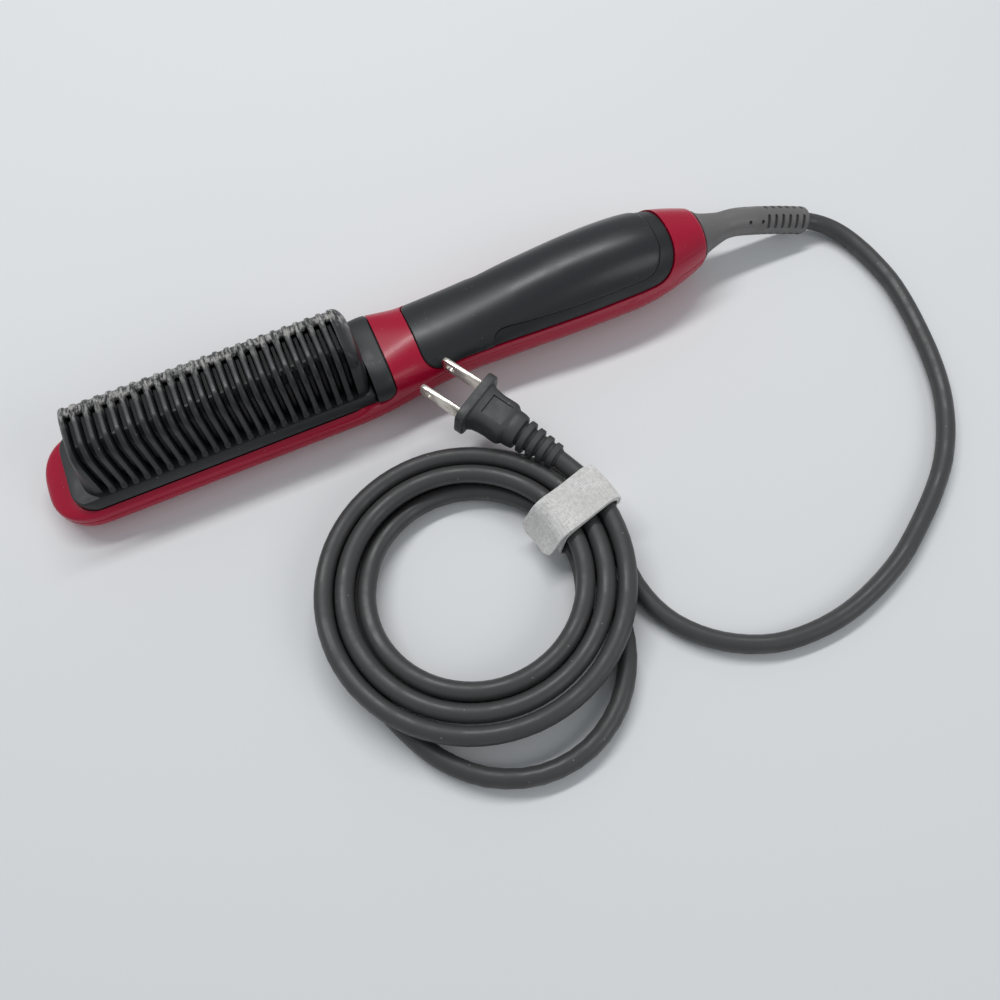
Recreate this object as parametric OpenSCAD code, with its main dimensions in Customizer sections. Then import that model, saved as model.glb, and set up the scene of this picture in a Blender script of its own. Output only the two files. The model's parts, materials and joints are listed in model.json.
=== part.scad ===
// Hair straightening brush: a slotted comb over a heated plate, a red shell in two halves,
// a soft grip, buttons on the back, a swivelling cord boot and a strapped coil of cord.
// Millimetres. s is the distance from the tip of the head, and x = s - body_l / 2.
// The brush lies on its back: z = 0 under the back of the shell, the comb points up.

/* [Body] */
// Length of the grip between the ring and the end cap
grip_l = 99.8; // [98:0.2:103]
// Width of the head
head_w = 36; // [35.5:0.1:37]
// Height of the head's rim above the back
rim_z = 13; // [12.8:0.1:13.4]
// Height of the parting line along the head
head_part_z = 8.8; // [8.6:0.1:9]
// Width at the waist of the handle
waist_w = 30.8; // [30.4:0.1:32]
// Width of the grip where it is widest
grip_w = 33.6; // [33:0.1:35]
// Height of the body at the ring
ring_z = 23.2; // [22.8:0.1:24]
// Height of the grip where it is highest
grip_z = 32.2; // [31.6:0.1:33]
// Height of the parting line along the grip
grip_part_z = 15; // [14.8:0.1:15.2]
// Diameter of the tail end
tail_d = 17; // [16.8:0.1:17.6]
// Thickness of the shells
wall = 2.4; // [2.2:0.1:2.6]
// Length of the rounded nose
nose_l = 17; // [15:0.5:18]
// Length of the collar between the comb and the ring
collar_l = 7.5; // [7:0.5:9]
// Length of the ring between the collar and the grip
ring_l = 12; // [11:0.5:13]
// Visible gap around the collar and the grip
seam = 0.35; // [0.25:0.05:0.45]

/* [Comb] */
// Distance from the tip of the head to the comb's base
comb_s = 8.8; // [8.4:0.1:9.4]
// Number of slots in the comb
slot_n = 23; // [21:1:23]
// Distance between slots
slot_pitch = 4; // [3.9:0.05:4]
// Width of a slot
slot_w = 2.25; // [2.1:0.05:2.3]
// Width of the comb where it leaves its base
comb_w = 26; // [25.5:0.1:26.5]
// Height of the comb's crest above the back
comb_z = 38.5; // [38:0.1:39.5]
// Radius of the comb's shoulders
shoulder_r = 7; // [6.8:0.1:7.5]
// Depth of the ribs from crest to hollow
rib_h = 5.5; // [5.2:0.1:5.6]
// Width of the red rim beside the comb's base
rim_w = 2; // [1.9:0.05:2.2]

/* [Heater] */
// Thickness of a heater fin
fin_t = 1.05; // [0.9:0.05:1.2]
// How far a fin stays below the ribs' outer edge
fin_inset = 2.8; // [2.6:0.1:3.2]
// Gap between the heater core and the comb
core_gap = 0.5; // [0.4:0.05:0.6]
// Width of the channel that holds the heating strip
channel_w = 8.4; // [8:0.1:9]
// Height of the channel's roof
channel_z = 27; // [26.5:0.1:27.5]
// Thickness of the heating strip
strip_t = 2; // [1.8:0.1:2.2]
// Thickness of the heat shield
shield_t = 0.7; // [0.5:0.1:0.8]

/* [Grip] */
// Height of the grip's lower edge above the parting line
grip_edge_h = 2.6; // [2.4:0.1:3]
// Length of the red cap behind the grip
cap_l = 16.2; // [15.5:0.1:17]
// Depth of the recess that holds the grip
recess_t = 1.4; // [1.3:0.05:1.5]
// Width of the border round the end of the pad
border_w = 5; // [4.5:0.1:5.5]
// How far the border lies below the pad
border_step = 0.5; // [0.4:0.05:0.6]

/* [Controls] */
// Width of the control panel
panel_w = 14; // [13.6:0.1:14.4]
// Length of the control panel
panel_l = 80; // [78:0.5:81]
// Diameter of a button
button_d = 9; // [8.5:0.1:9.5]
// Distance between buttons
button_pitch = 15; // [14:0.5:15]
// Travel of a button
button_travel = 0.6; // [0.4:0.05:0.6]
// Gap round a button
button_gap = 0.3; // [0.25:0.05:0.35]
// Length of the display window
window_l = 20; // [18:0.5:21]
// Width of the display window
window_w = 9; // [8:0.5:9]
// Height of the circuit board above the back
board_z = 7; // [6.9:0.1:7.2]
// Thickness of the circuit board
board_t = 1.6; // [1.4:0.1:1.6]

/* [Swivel and boot] */
// Diameter of the sleeve that turns in the tail
journal_d = 9; // [8.8:0.1:9.2]
// Radial running gap of the sleeve
journal_gap = 0.06; // [0.04:0.01:0.08]
// Diameter of the sleeve's retaining flange
flange_d = 13.2; // [12.8:0.1:13.4]
// Diameter of the boot along its tail
boot_d = 10.3; // [10:0.1:10.6]
// Diameter of the boot against the tail end
boot_base_d = 16.5; // [16:0.1:16.6]
// Turn of the boot from hanging straight down
boot_turn = 29; // [20:1:35]

/* [Cord and plug] */
// Diameter of the cord
cord_d = 6.2; // [6:0.1:6.3]
// Radius of the coil's smallest turn
coil_r = 33.5; // [33:0.5:35]
// Radial distance between neighbouring turns
coil_pitch = 6.7; // [6.7:0.05:6.9]
// Height between the two layers of turns
coil_step = 6.8; // [6.8:0.05:7]
// Width of the strap round the coil
strap_w = 15; // [13:0.5:16]
// Thickness of the strap
strap_t = 0.8; // [0.6:0.1:0.8]
// Length of a plug blade beyond the plug's face
blade_l = 16.6; // [16:0.1:17.5]
// Distance between the plug's blades
blade_gap = 12.7; // [12.5:0.1:12.9]

/* [Hidden] */
$fn = 48;

// Colours
red = "#9c1230";
black = "#1d1f21";
soft_grey = "#4a4d50";
boot_grey = "#8a8a8a";
cord_grey = "#5c5a5c";
metal = "#c9c9c6";
brass = "#c8a452";
white = "#e6e6e0";
board_green = "#2c6b3a";
strap_grey = "#b5b0a5";

// Places along the body
slot_s = comb_s + 11.65;
comb_e = slot_s + (slot_n - 1) * slot_pitch + 6.55;
ring_s = comb_e + collar_l;
grip_s = ring_s + ring_l;
grip_e = grip_s + grip_l;
body_l = grip_e + cap_l;
neck_s = comb_e - 9;
waist_s = ring_s + 27.5;
tail_l = 36.5;
tail_s = body_l - tail_l;
crown_s = tail_s - 6;
axis_z = grip_part_z + 0.5;
tail_wall = 9.5;

// Sections of the skin
nose_flat = 0.3;
nose_n = 2.4;
head_floor = 1;
grip_floor = 1.5;
head_n = 5;
grip_n = 2.2;

// Small gaps
slip = 0.05;
fit = 0.2;
overlap = 0.02;

function at(s) = s - body_l / 2;
function clamp01(t) = min(1, max(0, t));
function mix(a, b, t) = a + (b - a) * t;
function ease(s, a, b) = let (t = clamp01((s - a) / (b - a))) t * t * (3 - 2 * t);
function ramp(s, a, b) = clamp01((s - a) / (b - a));
// Grows from a blunt tip to 1 over the length l
function nose(s, l, n) = let (t = min(1, (s + nose_flat) / (l + nose_flat))) pow(1 - pow(1 - t, n), 1 / n);

// The skin of the body at a distance s from the tip
function half_w(s) = s > tail_s ? mix(grip_w / 2, tail_d / 2, pow(ramp(s, tail_s, body_l), 2))
    : nose(s, nose_l, nose_n) * mix(head_w / 2, waist_w / 2, ease(s, neck_s, waist_s))
        + (grip_w - waist_w) / 2 * ease(s, waist_s, crown_s);
function part_z(s) = mix(head_part_z, grip_part_z, ease(s, neck_s + 4, waist_s))
    + (axis_z - grip_part_z) * ease(s, crown_s - 18, tail_s);
function top_z(s) = s > crown_s ? axis_z + mix(grip_z - axis_z, tail_d / 2, pow(ramp(s, crown_s, body_l), 2))
    : s > ring_s ? mix(ring_z, grip_z, ease(s, ring_s + 7.5, crown_s))
    : mix(rim_z, ring_z, ease(s, neck_s, ring_s - 3));
function rise(s) = (top_z(s) - part_z(s)) * nose(s, 0.8 * nose_l, 2);
function depth(s) = (s > tail_s ? mix(axis_z + grip_floor, tail_d / 2, pow(ramp(s, tail_s, body_l), 2))
    : part_z(s) + mix(head_floor, grip_floor, ease(s, neck_s, waist_s))) * nose(s, 0.8 * nose_l, 2);
function up_n(s) = mix(head_n, grip_n, ease(s, neck_s - 2, grip_s + 2));
function down_n(s) = mix(2.6, 2.3, ease(s, neck_s, waist_s));
function bent(c, n) = sign(c) * pow(abs(c), 2 / n);

// A point of the skin at angle a round the section, moved in by inset; the back is flat
function skin(s, a, inset) = let (
    up = a <= 180,
    n = up ? up_n(s) : down_n(s),
    w = max(0.4, half_w(s) - inset),
    h = max(0.3, (up ? rise(s) : depth(s)) - inset),
    z = part_z(s) + h * bent(sin(a), n))
    [at(s), w * bent(cos(a), n), up ? z : max(z, inset)];

// Two triangles for each cell of a grid of rows by columns, turned over if flip is true
function grid(rows, cols, from, flip) = [
    for (r = [0 : rows - 2], c = [0 : cols - 2])
        let (p = from + r * cols + c, q = p + cols)
        each (flip ? [[p, q, p + 1], [p + 1, q, q + 1]] : [[p, p + 1, q], [p + 1, q + 1, q]])];
// A strip of triangles between two lists of point numbers
function strip(a, b) = [for (i = [0 : len(a) - 2]) each [[a[i], a[i + 1], b[i]], [a[i + 1], b[i + 1], b[i]]]];
// A fan that closes a list of point numbers
function fan(a) = [for (i = [1 : len(a) - 2]) [a[0], a[i], a[i + 1]]];

// A thick piece of the skin. Each row is [s, inner s, first angle, last angle, outer inset, inner inset]
module skin_piece(rows, steps, closed = false) {
    cols = steps + 1;
    m = len(rows);
    outer = [for (r = rows, i = [0 : steps]) skin(r[0], mix(r[2], r[3], i / steps), r[4])];
    inner = [for (r = rows, i = [0 : steps]) skin(r[1], mix(r[2], r[3], i / steps), r[5])];
    n = m * cols;
    low = [for (r = [0 : m - 1]) r * cols];
    high = [for (r = [0 : m - 1]) r * cols + steps];
    first = [for (i = [0 : steps]) i];
    last = [for (i = [0 : steps]) (m - 1) * cols + i];
    in = function (list) [for (k = list) k + n];
    back = function (list) [for (i = [len(list) - 1 : -1 : 0]) list[i]];
    ends = closed
        ? concat(fan(first), fan(back(last)), fan(in(back(first))), fan(in(last)),
            [[0, steps, n + steps], [0, n + steps, n]],
            [[last[0], n + last[steps], last[steps]], [last[0], n + last[0], n + last[steps]]])
        : concat(strip(first, in(first)), strip(in(last), last));
    polyhedron(concat(outer, inner), concat(grid(m, cols, 0, true), grid(m, cols, n, false),
        strip(in(low), low), strip(high, in(high)), ends), convexity = 6);
}

// A closed tube or loft through rings of points
module lofted(rings) {
    m = len(rings);
    k = len(rings[0]);
    side = [for (r = [0 : m - 2], c = [0 : k - 1])
        let (p = r * k + c, q = r * k + (c + 1) % k) each [[p, q, p + k], [q, q + k, p + k]]];
    polyhedron([for (r = rings) each r],
        concat(side, fan([for (c = [k - 1 : -1 : 0]) c]), fan([for (c = [0 : k - 1]) (m - 1) * k + c])), convexity = 10);
}

function unit(v) = v / norm(v);
// Rings square to a path, with the directions at both ends given
function path_rings(path, r, sides, start, finish) = [
    for (i = [0 : len(path) - 1]) let (
        t = i == 0 ? unit(start) : i == len(path) - 1 ? unit(finish) : unit(path[i + 1] - path[i - 1]),
        side = unit([t.y, -t.x, 0]),
        up = cross(side, t))
        [for (k = [0 : sides - 1]) let (a = 360 * (k + 0.5) / sides)
            path[i] + (is_list(r) ? r[i] : r) * (cos(a) * side + sin(a) * up)]];

// Points of a rectangle with round corners, r0 at its low x end and r1 at its high x end
function round_box(x0, x1, half, r0, r1) = concat(
    [for (a = [-90 : 15 : 0]) [x1 - r1 + r1 * cos(a), -half + r1 + r1 * sin(a)]],
    [for (a = [0 : 15 : 90]) [x1 - r1 + r1 * cos(a), half - r1 + r1 * sin(a)]],
    [for (a = [90 : 15 : 180]) [x0 + r0 + r0 * cos(a), half - r0 + r0 * sin(a)]],
    [for (a = [180 : 15 : 270]) [x0 + r0 + r0 * cos(a), -half + r0 + r0 * sin(a)]]);

module slab(s0, s1, w, r0, r1, z0, z1) {
    translate([0, 0, z0]) linear_extrude(z1 - z0) polygon(round_box(at(s0), at(s1), w / 2, r0, r1));
}
// Extrudes a section drawn in y and z from s0 to s1
module along(s0, s1) {
    translate([at(s0), 0, 0]) rotate([90, 0, 90]) linear_extrude(s1 - s0) children();
}
// Extrudes a side view drawn in s and z across the body
module across(w) {
    translate([-body_l / 2, w / 2, 0]) rotate([90, 0, 0]) linear_extrude(w) children();
}
module post(s, y, d, z0, z1) {
    translate([at(s), y, z0]) cylinder(d = d, h = z1 - z0);
}
// A round bar along x, centred on the swivel's axis
module bar(s0, s1, d) {
    translate([at(s0), 0, axis_z]) rotate([0, 90, 0]) cylinder(d = d, h = s1 - s0);
}

// Screws of the housing: [s, y, height of the joint, height of the tip]
base_z = rim_z - 3;
base_t = 3.3;
boss_d = 6.5;
screw_d = 2.2;
screw_head_d = 4.6;
screw_head_t = 1.6;
screw_seat_z = 3;
housing_screw_at = [[comb_s + 2.6, 0, base_z, base_z + 2.6], [comb_e + 1, 9, base_z, base_z + 2.6],
    [comb_e + 1, -9, base_z, base_z + 2.6], [ring_s + 7.5, 0, 12, 18], [tail_s + 11, 0, axis_z, 22]];

// Stations of the shells along the body
shell_s = concat([for (t = [0, 0.03, 0.08, 0.16, 0.27, 0.42, 0.6, 0.8, 1]) nose_l * t], [(nose_l + neck_s) / 2],
    [for (i = [0 : 9]) mix(neck_s - 1, grip_s, i / 9)], [for (i = [1 : 7]) mix(grip_s, crown_s, i / 7)],
    [for (i = [1 : 9]) crown_s + (body_l - crown_s) * sin(10 * i)]);
function inner_s(s) = s + wall * (1 - ease(s, 0, 40)) - tail_wall * ease(s, tail_s - 24, body_l);
module half_shell(a0, a1) {
    skin_piece([for (s = shell_s) [s, inner_s(s), a0, a1, 0, wall]], 20, true);
}

// Outline of the comb's base and of its opening in the shell
base_w = head_w - 2 * rim_w;
base_r = 7.7;
module base_outline(gap, z0, z1) {
    slab(comb_s - gap, ring_s - 2 * seam + gap, base_w + 2 * gap, base_r + gap, 0.5, z0, z1);
}

// Outline of the grip: half of its angle at s, moved in by margin
corner_l = 8;
corner_a = 45;
end_l = 10;
end_n = 2.6;
border_s = grip_s + 28;
function edge_a(s, margin) = 90 - asin(min(0.97, pow(max(0.1, grip_edge_h + margin) / rise(s), up_n(s) / 2)));
function grip_half(s, margin) = let (
    c = clamp01((grip_s + min(margin, 0) + corner_l - s) / corner_l),
    e = clamp01((s - (grip_e - margin - end_l)) / end_l))
    (edge_a(s, margin) - corner_a * (1 - sqrt(1 - c * c))) * pow(1 - pow(e, end_n), 1 / end_n);
function grip_rows(margin, side_margin, outer, inner) = let (start = grip_s - margin, end = grip_e - side_margin)
    [for (s = concat([for (a = [0 : 22.5 : 90]) start + corner_l * (1 - cos(a))],
            [for (i = [1 : 10]) mix(start + corner_l, end - end_l, i / 10)],
            [for (t = [0.35, 0.6, 0.78, 0.9, 0.96, 0.99, 0.999]) end - end_l + end_l * t]))
        let (m = mix(-margin, side_margin, ease(s, border_s - 3, border_s + 3)), h = grip_half(s, m))
        [s, s, 90 - h, 90 + h, outer, inner]];

module comb_section(inset) {
    r = max(0.8, shoulder_r - inset);
    top = comb_z - inset - r;
    w1 = comb_w / 2 - 1 - inset - r;
    right = concat([[comb_w / 2 - inset, plinth_z]], [for (a = [0 : 11.25 : 90]) [w1 + r * cos(a), top + r * sin(a)]]);
    polygon(concat(right, [for (i = [len(right) - 1 : -1 : 0]) [-right[i][0], right[i][1]]]));
}
plinth_z = rim_z + 3.2;
web_z = rim_z + 0.4;
plinth_w = comb_w + 3.2;
hollow_s = slot_s - 2.1;
hollow_e = comb_e - 4.4;
cavity_w = 27;
// Side view of the comb: a leaning front and a round back corner
crest_r = 8;
front_r = 4;
module comb_side() {
    polygon(concat([[comb_s + 2.7, base_z]],
        [for (a = [165 : -15 : 90]) [comb_s + 8 + front_r + front_r * cos(a), comb_z - front_r + front_r * sin(a)]],
        [for (a = [90 : -11.25 : 0]) [comb_e - crest_r + crest_r * cos(a), comb_z - crest_r + crest_r * sin(a)]],
        [[comb_e, base_z]]));
}
heater_screw_at = [for (s = [slot_s + 3.55, comb_e - 14], y = [-10.5, 10.5]) [s, y]];

module comb_cover() color(black) difference() {
    union() {
        base_outline(0, base_z, base_z + base_t);
        intersection() {
            along(comb_s, comb_e) polygon([[-base_w / 2, base_z], [base_w / 2, base_z], [base_w / 2, base_z + base_t],
                [plinth_w / 2, plinth_z], [-plinth_w / 2, plinth_z], [-base_w / 2, base_z + base_t]]);
            slab(comb_s, comb_e, base_w, base_r, 2, base_z + 1, plinth_z + 1);
        }
        intersection() {
            along(comb_s, comb_e) comb_section(0);
            across(comb_w + 2) comb_side();
            slab(comb_s + 2.7, comb_e, comb_w, 5, 1.5, base_z, comb_z + 1);
        }
    }
    slab(slot_s - 7, comb_e - 3.5, cavity_w, 4, 4, base_z - 1, web_z);
    along(hollow_s, hollow_e) comb_section(rib_h);
    slab(hollow_s, hollow_e, comb_w - 2 * rib_h, 0.5, 0.5, base_z, plinth_z + 1);
    for (i = [0 : slot_n - 1]) translate([at(slot_s + i * slot_pitch - slot_w / 2), -head_w / 2, plinth_z])
        cube([slot_w, head_w, comb_z]);
    for (p = heater_screw_at) post(p[0], p[1], screw_d, base_z, plinth_z - 0.3);
    for (p = housing_screw_at) if (p[2] == base_z) post(p[0], p[1], screw_d + 2 * slip, base_z - 1, p[3] + 0.3);
}

heater_s = slot_s - 6;
heater_e = comb_e - 4.5;
heater_flange_z = web_z - 2;
core_s = hollow_s + core_gap;
core_e = hollow_e - core_gap;
channel_s = core_s + 1.5;
channel_e = core_e - 1.2;
shield_z = base_z - 1;
heater_post_d = 5;
module heater_plate() color(metal) difference() {
    union() {
        slab(heater_s, heater_e, cavity_w - 0.6, 3.7, 3.7, heater_flange_z, web_z);
        along(core_s, core_e) comb_section(rib_h + core_gap);
        slab(core_s, core_e, comb_w - 2 * (rib_h + core_gap), 0.5, 0.5, web_z - 0.5, plinth_z + 0.5);
        for (i = [0 : slot_n - 1]) along(slot_s + i * slot_pitch - fin_t / 2, slot_s + i * slot_pitch + fin_t / 2)
            difference() {
                comb_section(fin_inset);
                translate([-head_w, 0]) square([2 * head_w, plinth_z + fit]);
            }
        for (p = heater_screw_at) post(p[0], p[1], heater_post_d, shield_z + shield_t, web_z - 0.5);
    }
    slab(channel_s, channel_e, channel_w, 0.5, 0.5, 0, channel_z);
    for (p = heater_screw_at) post(p[0], p[1], screw_d, 0, plinth_z);
}

element_s = channel_s + 17;
element_e = channel_e - 5;
module heater_element() color(white)
    slab(element_s, element_e, channel_w - 0.4, 0.5, 0.5, channel_z - strip_t, channel_z);
module heater_clamp() color(metal) {
    slab(element_s + 2, element_e - 2, channel_w - 1.6, 0.5, 0.5, heater_flange_z - 0.5, channel_z - strip_t);
    slab(element_s + 6, element_e - 6, channel_w + 9, 2, 2, heater_flange_z - 1, heater_flange_z);
}
module heat_shield() color(metal) difference() {
    slab(heater_s + 0.5, channel_e - 3.5, head_w - 2 * wall - 0.8, 5, 2, shield_z, shield_z + shield_t);
    for (p = heater_screw_at) post(p[0], p[1], screw_d, 0, base_z);
}
module thermal_cutout() color(white) translate([at(channel_s + 2.5), 0, channel_z - 2.2])
    rotate([0, 90, 0]) {
        cylinder(d = 4, h = 10);
        translate([0, 0, -1.2]) cylinder(d = 1, h = 12.4);
    }
module temperature_sensor() color(black) translate([at(channel_s + 15), 0, channel_z - 1.5]) {
    sphere(d = 2.4);
    rotate([0, 90, 0]) cylinder(d = 0.8, h = 1.9);
}
module heater_screws() color(metal) for (p = heater_screw_at) {
    post(p[0], p[1], screw_d - 2 * slip, shield_z - overlap, plinth_z - 0.5);
    post(p[0], p[1], 4, shield_z - 1.2, shield_z);
}

// The collar leans in towards the comb and has a tongue under the ring
collar_r = 5;
tongue_l = 4;
collar_e = ring_s - seam;
collar_z = rim_z + seam;
function collar_inset(s) = 1.1 * (1 - ease(s, comb_e - 3, ring_s - 1));
// Half of the comb's section where the collar meets it
function comb_edge(side, gap) = [[side * head_w, base_z - 1], [side * head_w, base_z + base_t + gap],
    [side * (base_w / 2 + gap), base_z + base_t + gap], [side * (plinth_w / 2 + gap), plinth_z + gap],
    [side * (comb_w / 2 + gap), plinth_z + gap], [side * (comb_w / 2 + gap), comb_z]];
module neck_collar() color(black) difference() {
    skin_piece([for (r = [[-6, 0], [-3, 0], [0, 0], [3, 0], [5, 0], [6.4, 0], [7.1, 0], [7.15, wall + 0.1], [9, wall + 0.1],
            [7.15 + tongue_l, wall + 0.1]])
        let (s = min(comb_e + r[0] * collar_l / 7.5, ring_s + tongue_l))
        [s, s, 0, 180, max(collar_inset(s), r[1]), wall + 1.6]], 20);
    across(head_w + 10) polygon(concat(
        [[neck_s - 10, 0], [ring_s + 20, 0], [ring_s + 20, collar_z + collar_r]],
        [for (a = [0 : -15 : -90]) [collar_e - collar_r + collar_r * cos(a), collar_z + collar_r + collar_r * sin(a)]],
        [[neck_s - 10, collar_z]]));
    along(neck_s - 10, comb_e + fit) polygon(concat(comb_edge(1, fit), [for (i = [5 : -1 : 0]) comb_edge(-1, fit)[i]]));
}

module boss(p, z0, z1) {
    post(p[0], p[1], boss_d, z0, z1);
}
module upper_shell() color(red) difference() {
    union() {
        half_shell(0, 180);
        for (p = housing_screw_at) if (p[2] > base_z) boss(p, p[2], min(top_z(p[0]) - 0.8 * wall, p[3] + 12));
    }
    across(head_w + 10) polygon(concat([[neck_s - 10, 60], [neck_s - 10, rim_z + overlap]],
        [for (a = [-90 : 15 : 0]) [ring_s - collar_r + collar_r * cos(a), rim_z + overlap + collar_r + collar_r * sin(a)]],
        [[ring_s, 60]]));
    base_outline(fit, base_z, rim_z + 1);
    skin_piece(grip_rows(0.3, -0.3, -1.5, recess_t), 20);
    for (p = housing_screw_at) if (p[2] > base_z) post(p[0], p[1], screw_d + 2 * slip, p[2] - 1, p[3] + 0.4);
    bar(body_l - tail_wall - 1, body_l + 1, bush_d);
}

module grip_pad() color(soft_grey) skin_piece(grip_rows(0, border_w + 0.2, 0, recess_t - 0.15), 20);
module grip_bezel() color(black) difference() {
    skin_piece([for (r = grip_rows(0, 0, border_step, recess_t - 0.15)) if (r[0] > border_s - 4) r], 20);
    skin_piece(grip_rows(0.3, border_w, -1, recess_t + 1), 20);
}

// Panel, window, buttons and board on the back
panel_s = ring_s + 15.5;
panel_t = 1.15;
panel_z = 0.35;
panel_seat_z = panel_z + panel_t;
button_s = panel_s + 37;
window_s = panel_s + 5;
button_flange_d = button_d + 2;
button_z = 0.9;
button_flange_z = wall + 0.3;
button_top_z = button_flange_z + 0.9;
board_s = panel_s + 1;
board_e = button_s + 2 * button_pitch + 5.5;
board_w = 20;
board_post_at = [for (s = [board_s + 3, board_e - 3], y = [-7.4, 7.4]) [s, y]];
module lower_shell() color(red) difference() {
    union() {
        half_shell(180, 360);
        for (p = housing_screw_at) boss(p, 1.2, p[2]);
        for (p = board_post_at) post(p[0], p[1], 4.4, wall - 0.6, board_z);
    }
    slab(panel_s - fit, panel_s + panel_l + fit, panel_w + 2 * fit, panel_w / 2, panel_w / 2, -1, panel_seat_z);
    slab(window_s - 1, window_s + window_l + 1, window_w + 2, 1, 1, 0, wall + 3);
    for (i = [0 : 2]) post(button_s + i * button_pitch, 0, button_d + 2 * button_gap, 0, wall + 3);
    for (p = housing_screw_at) {
        post(p[0], p[1], screw_d + 2 * slip, 0, 40);
        post(p[0], p[1], screw_head_d + 1, -1, screw_seat_z);
    }
    for (p = board_post_at) post(p[0], p[1], 1.8, wall, 20);
    bar(body_l - tail_wall - 1, body_l + 1, bush_d);
}
module control_panel() color(black) difference() {
    slab(panel_s, panel_s + panel_l, panel_w, panel_w / 2 - fit, panel_w / 2 - fit, panel_z, panel_seat_z);
    slab(window_s, window_s + window_l, window_w, 1, 1, 0, wall);
    for (i = [0 : 2]) post(button_s + i * button_pitch, 0, button_d + 2 * button_gap, 0, wall);
}
module display_window() color("#11161c")
    slab(window_s + slip, window_s + window_l - slip, window_w - 2 * slip, 1, 1, panel_z + 0.1, panel_seat_z + 0.2);
module display_module() color(white)
    slab(window_s + 0.5, window_s + window_l - 0.5, window_w, 1, 1, panel_seat_z + 0.2, board_z);
module control_board() color(board_green) difference() {
    slab(board_s, board_e, board_w, 2, 2, board_z, board_z + board_t);
    for (p = board_post_at) post(p[0], p[1], 2, 0, 20);
}
module button_switches() color(black) for (i = [0 : 2]) {
    slab(button_s + i * button_pitch - 3, button_s + i * button_pitch + 3, 6, 0.5, 0.5, board_z - 1.9, board_z);
    post(button_s + i * button_pitch, 0, 3, button_top_z + button_travel + 0.1, board_z - 1.8);
}
module board_screws() color(metal) for (p = board_post_at) {
    post(p[0], p[1], 1.7, wall + 2, board_z + board_t + overlap);
    post(p[0], p[1], 3.6, board_z + board_t, board_z + board_t + 1.1);
}
module button(i) color(soft_grey) {
    post(button_s + i * button_pitch, 0, button_d, button_z, button_top_z);
    post(button_s + i * button_pitch, 0, button_flange_d, button_flange_z, button_top_z);
}
module power_button() button(0);
module plus_button() button(1);
module minus_button() button(2);
module housing_screws() color(metal) for (p = housing_screw_at) {
    post(p[0], p[1], screw_d, screw_seat_z - overlap, p[3]);
    post(p[0], p[1], screw_head_d, screw_seat_z - screw_head_t, screw_seat_z);
}

// Wires inside the body, each through points [s, y, z]
lead_d = 1.6;
module lead(points) {
    path = [for (p = points) [at(p[0]), p[1], p[2]]];
    m = len(path) - 1;
    lofted(path_rings(path, lead_d / 2, 6, path[1] - path[0], path[m] - path[m - 1]));
}
module heater_leads() color(red) for (y = [-1, 1])
    lead([[channel_e - 4, 1.8 * y, channel_z - 4], [channel_e - 3, 1.8 * y, base_z + 1], [channel_e - 1, 2.4 * y, 6.6],
        [comb_e - 1, 4.4 * y, 5.4], [ring_s + 3, 4.4 * y, 5.4], [panel_s - 3, 4.4 * y, 8],
        [board_s, 4.4 * y, board_z + board_t + 1], [board_s + 4, 4.4 * y, board_z + board_t + 1]]);
module supply_leads() color(black) for (y = [-1, 1])
    lead([[board_e - 6, 4.4 * y, board_z + board_t + 1], [board_e, 5 * y, board_z + board_t + 1.4],
        [tail_s + 8, 5.6 * y, 11.5], [block_s - 0.1, 4.4 * y, 12.5]]);

// Swivel: a flanged sleeve turns in a fixed bush and carries the boot
bush_d = journal_d + 3.4;
bush_flange_d = bush_d + 2;
bush_flange_t = 1.2;
bush_s = body_l - tail_wall;
sleeve_flange_t = 2;
sleeve_flange_e = bush_s - bush_flange_t - 0.1;
sleeve_s = sleeve_flange_e - sleeve_flange_t;
spigot_l = 5;
spigot_d = 7;
cord_hole_d = 4;
boot_gap = 0.25;
boot_grip_l = 5;
block_t = 3;
block_s = sleeve_s - spigot_l - 0.3 - block_t;
module contact_block() color(white) difference() {
    slab(block_s, block_s + block_t, 15, 1, 1, axis_z - 6, axis_z + 6);
    bar(block_s - 1, block_s + block_t + 1, cord_hole_d);
    contact_leaf(block_s + block_t - leaf_seat_l - slip, leaf_seat_l + 1, slip);
}
leaf_seat_l = 1.5;
module contact_leaf(s, l, gap) {
    for (m = [0, 1]) mirror([0, m, 0]) translate([at(s), spigot_d / 2 + 0.15 - gap, axis_z - 2 - gap])
        cube([l, 0.6 + 2 * gap, 4 + 2 * gap]);
}
// Two spring leaves that lie along the spigot
module contact_leaves() color(brass) contact_leaf(block_s + block_t - leaf_seat_l, leaf_seat_l + spigot_l, 0);
module swivel_bush() color(soft_grey) difference() {
    union() {
        bar(bush_s, body_l - 0.2, bush_d - 2 * slip);
        bar(bush_s - bush_flange_t, bush_s, bush_flange_d);
    }
    bar(bush_s - 5, body_l + 1, journal_d + 2 * journal_gap);
}
module swivel_sleeve() color(soft_grey) difference() {
    union() {
        bar(sleeve_s, body_l + boot_gap + boot_grip_l, journal_d);
        bar(sleeve_s, sleeve_flange_e, flange_d);
        bar(sleeve_s - spigot_l, sleeve_s, spigot_d);
    }
    bar(sleeve_s - spigot_l - 1, body_l + 20, cord_hole_d);
}

// The boot flares at its base, then bends twice; it hangs turned towards the near side
boot_straight = 8;
bend_1 = [26, 15.4];
bend_2 = [250, 6.4];
boot_r = boot_d / 2;
boot_slots = 6;
boot_slot_pitch = 2.9;
arc_1 = bend_1[0] * bend_1[1] * PI / 180;
arc_2 = bend_2[0] * bend_2[1] * PI / 180;
boot_l = boot_straight + arc_1 + arc_2;
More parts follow.
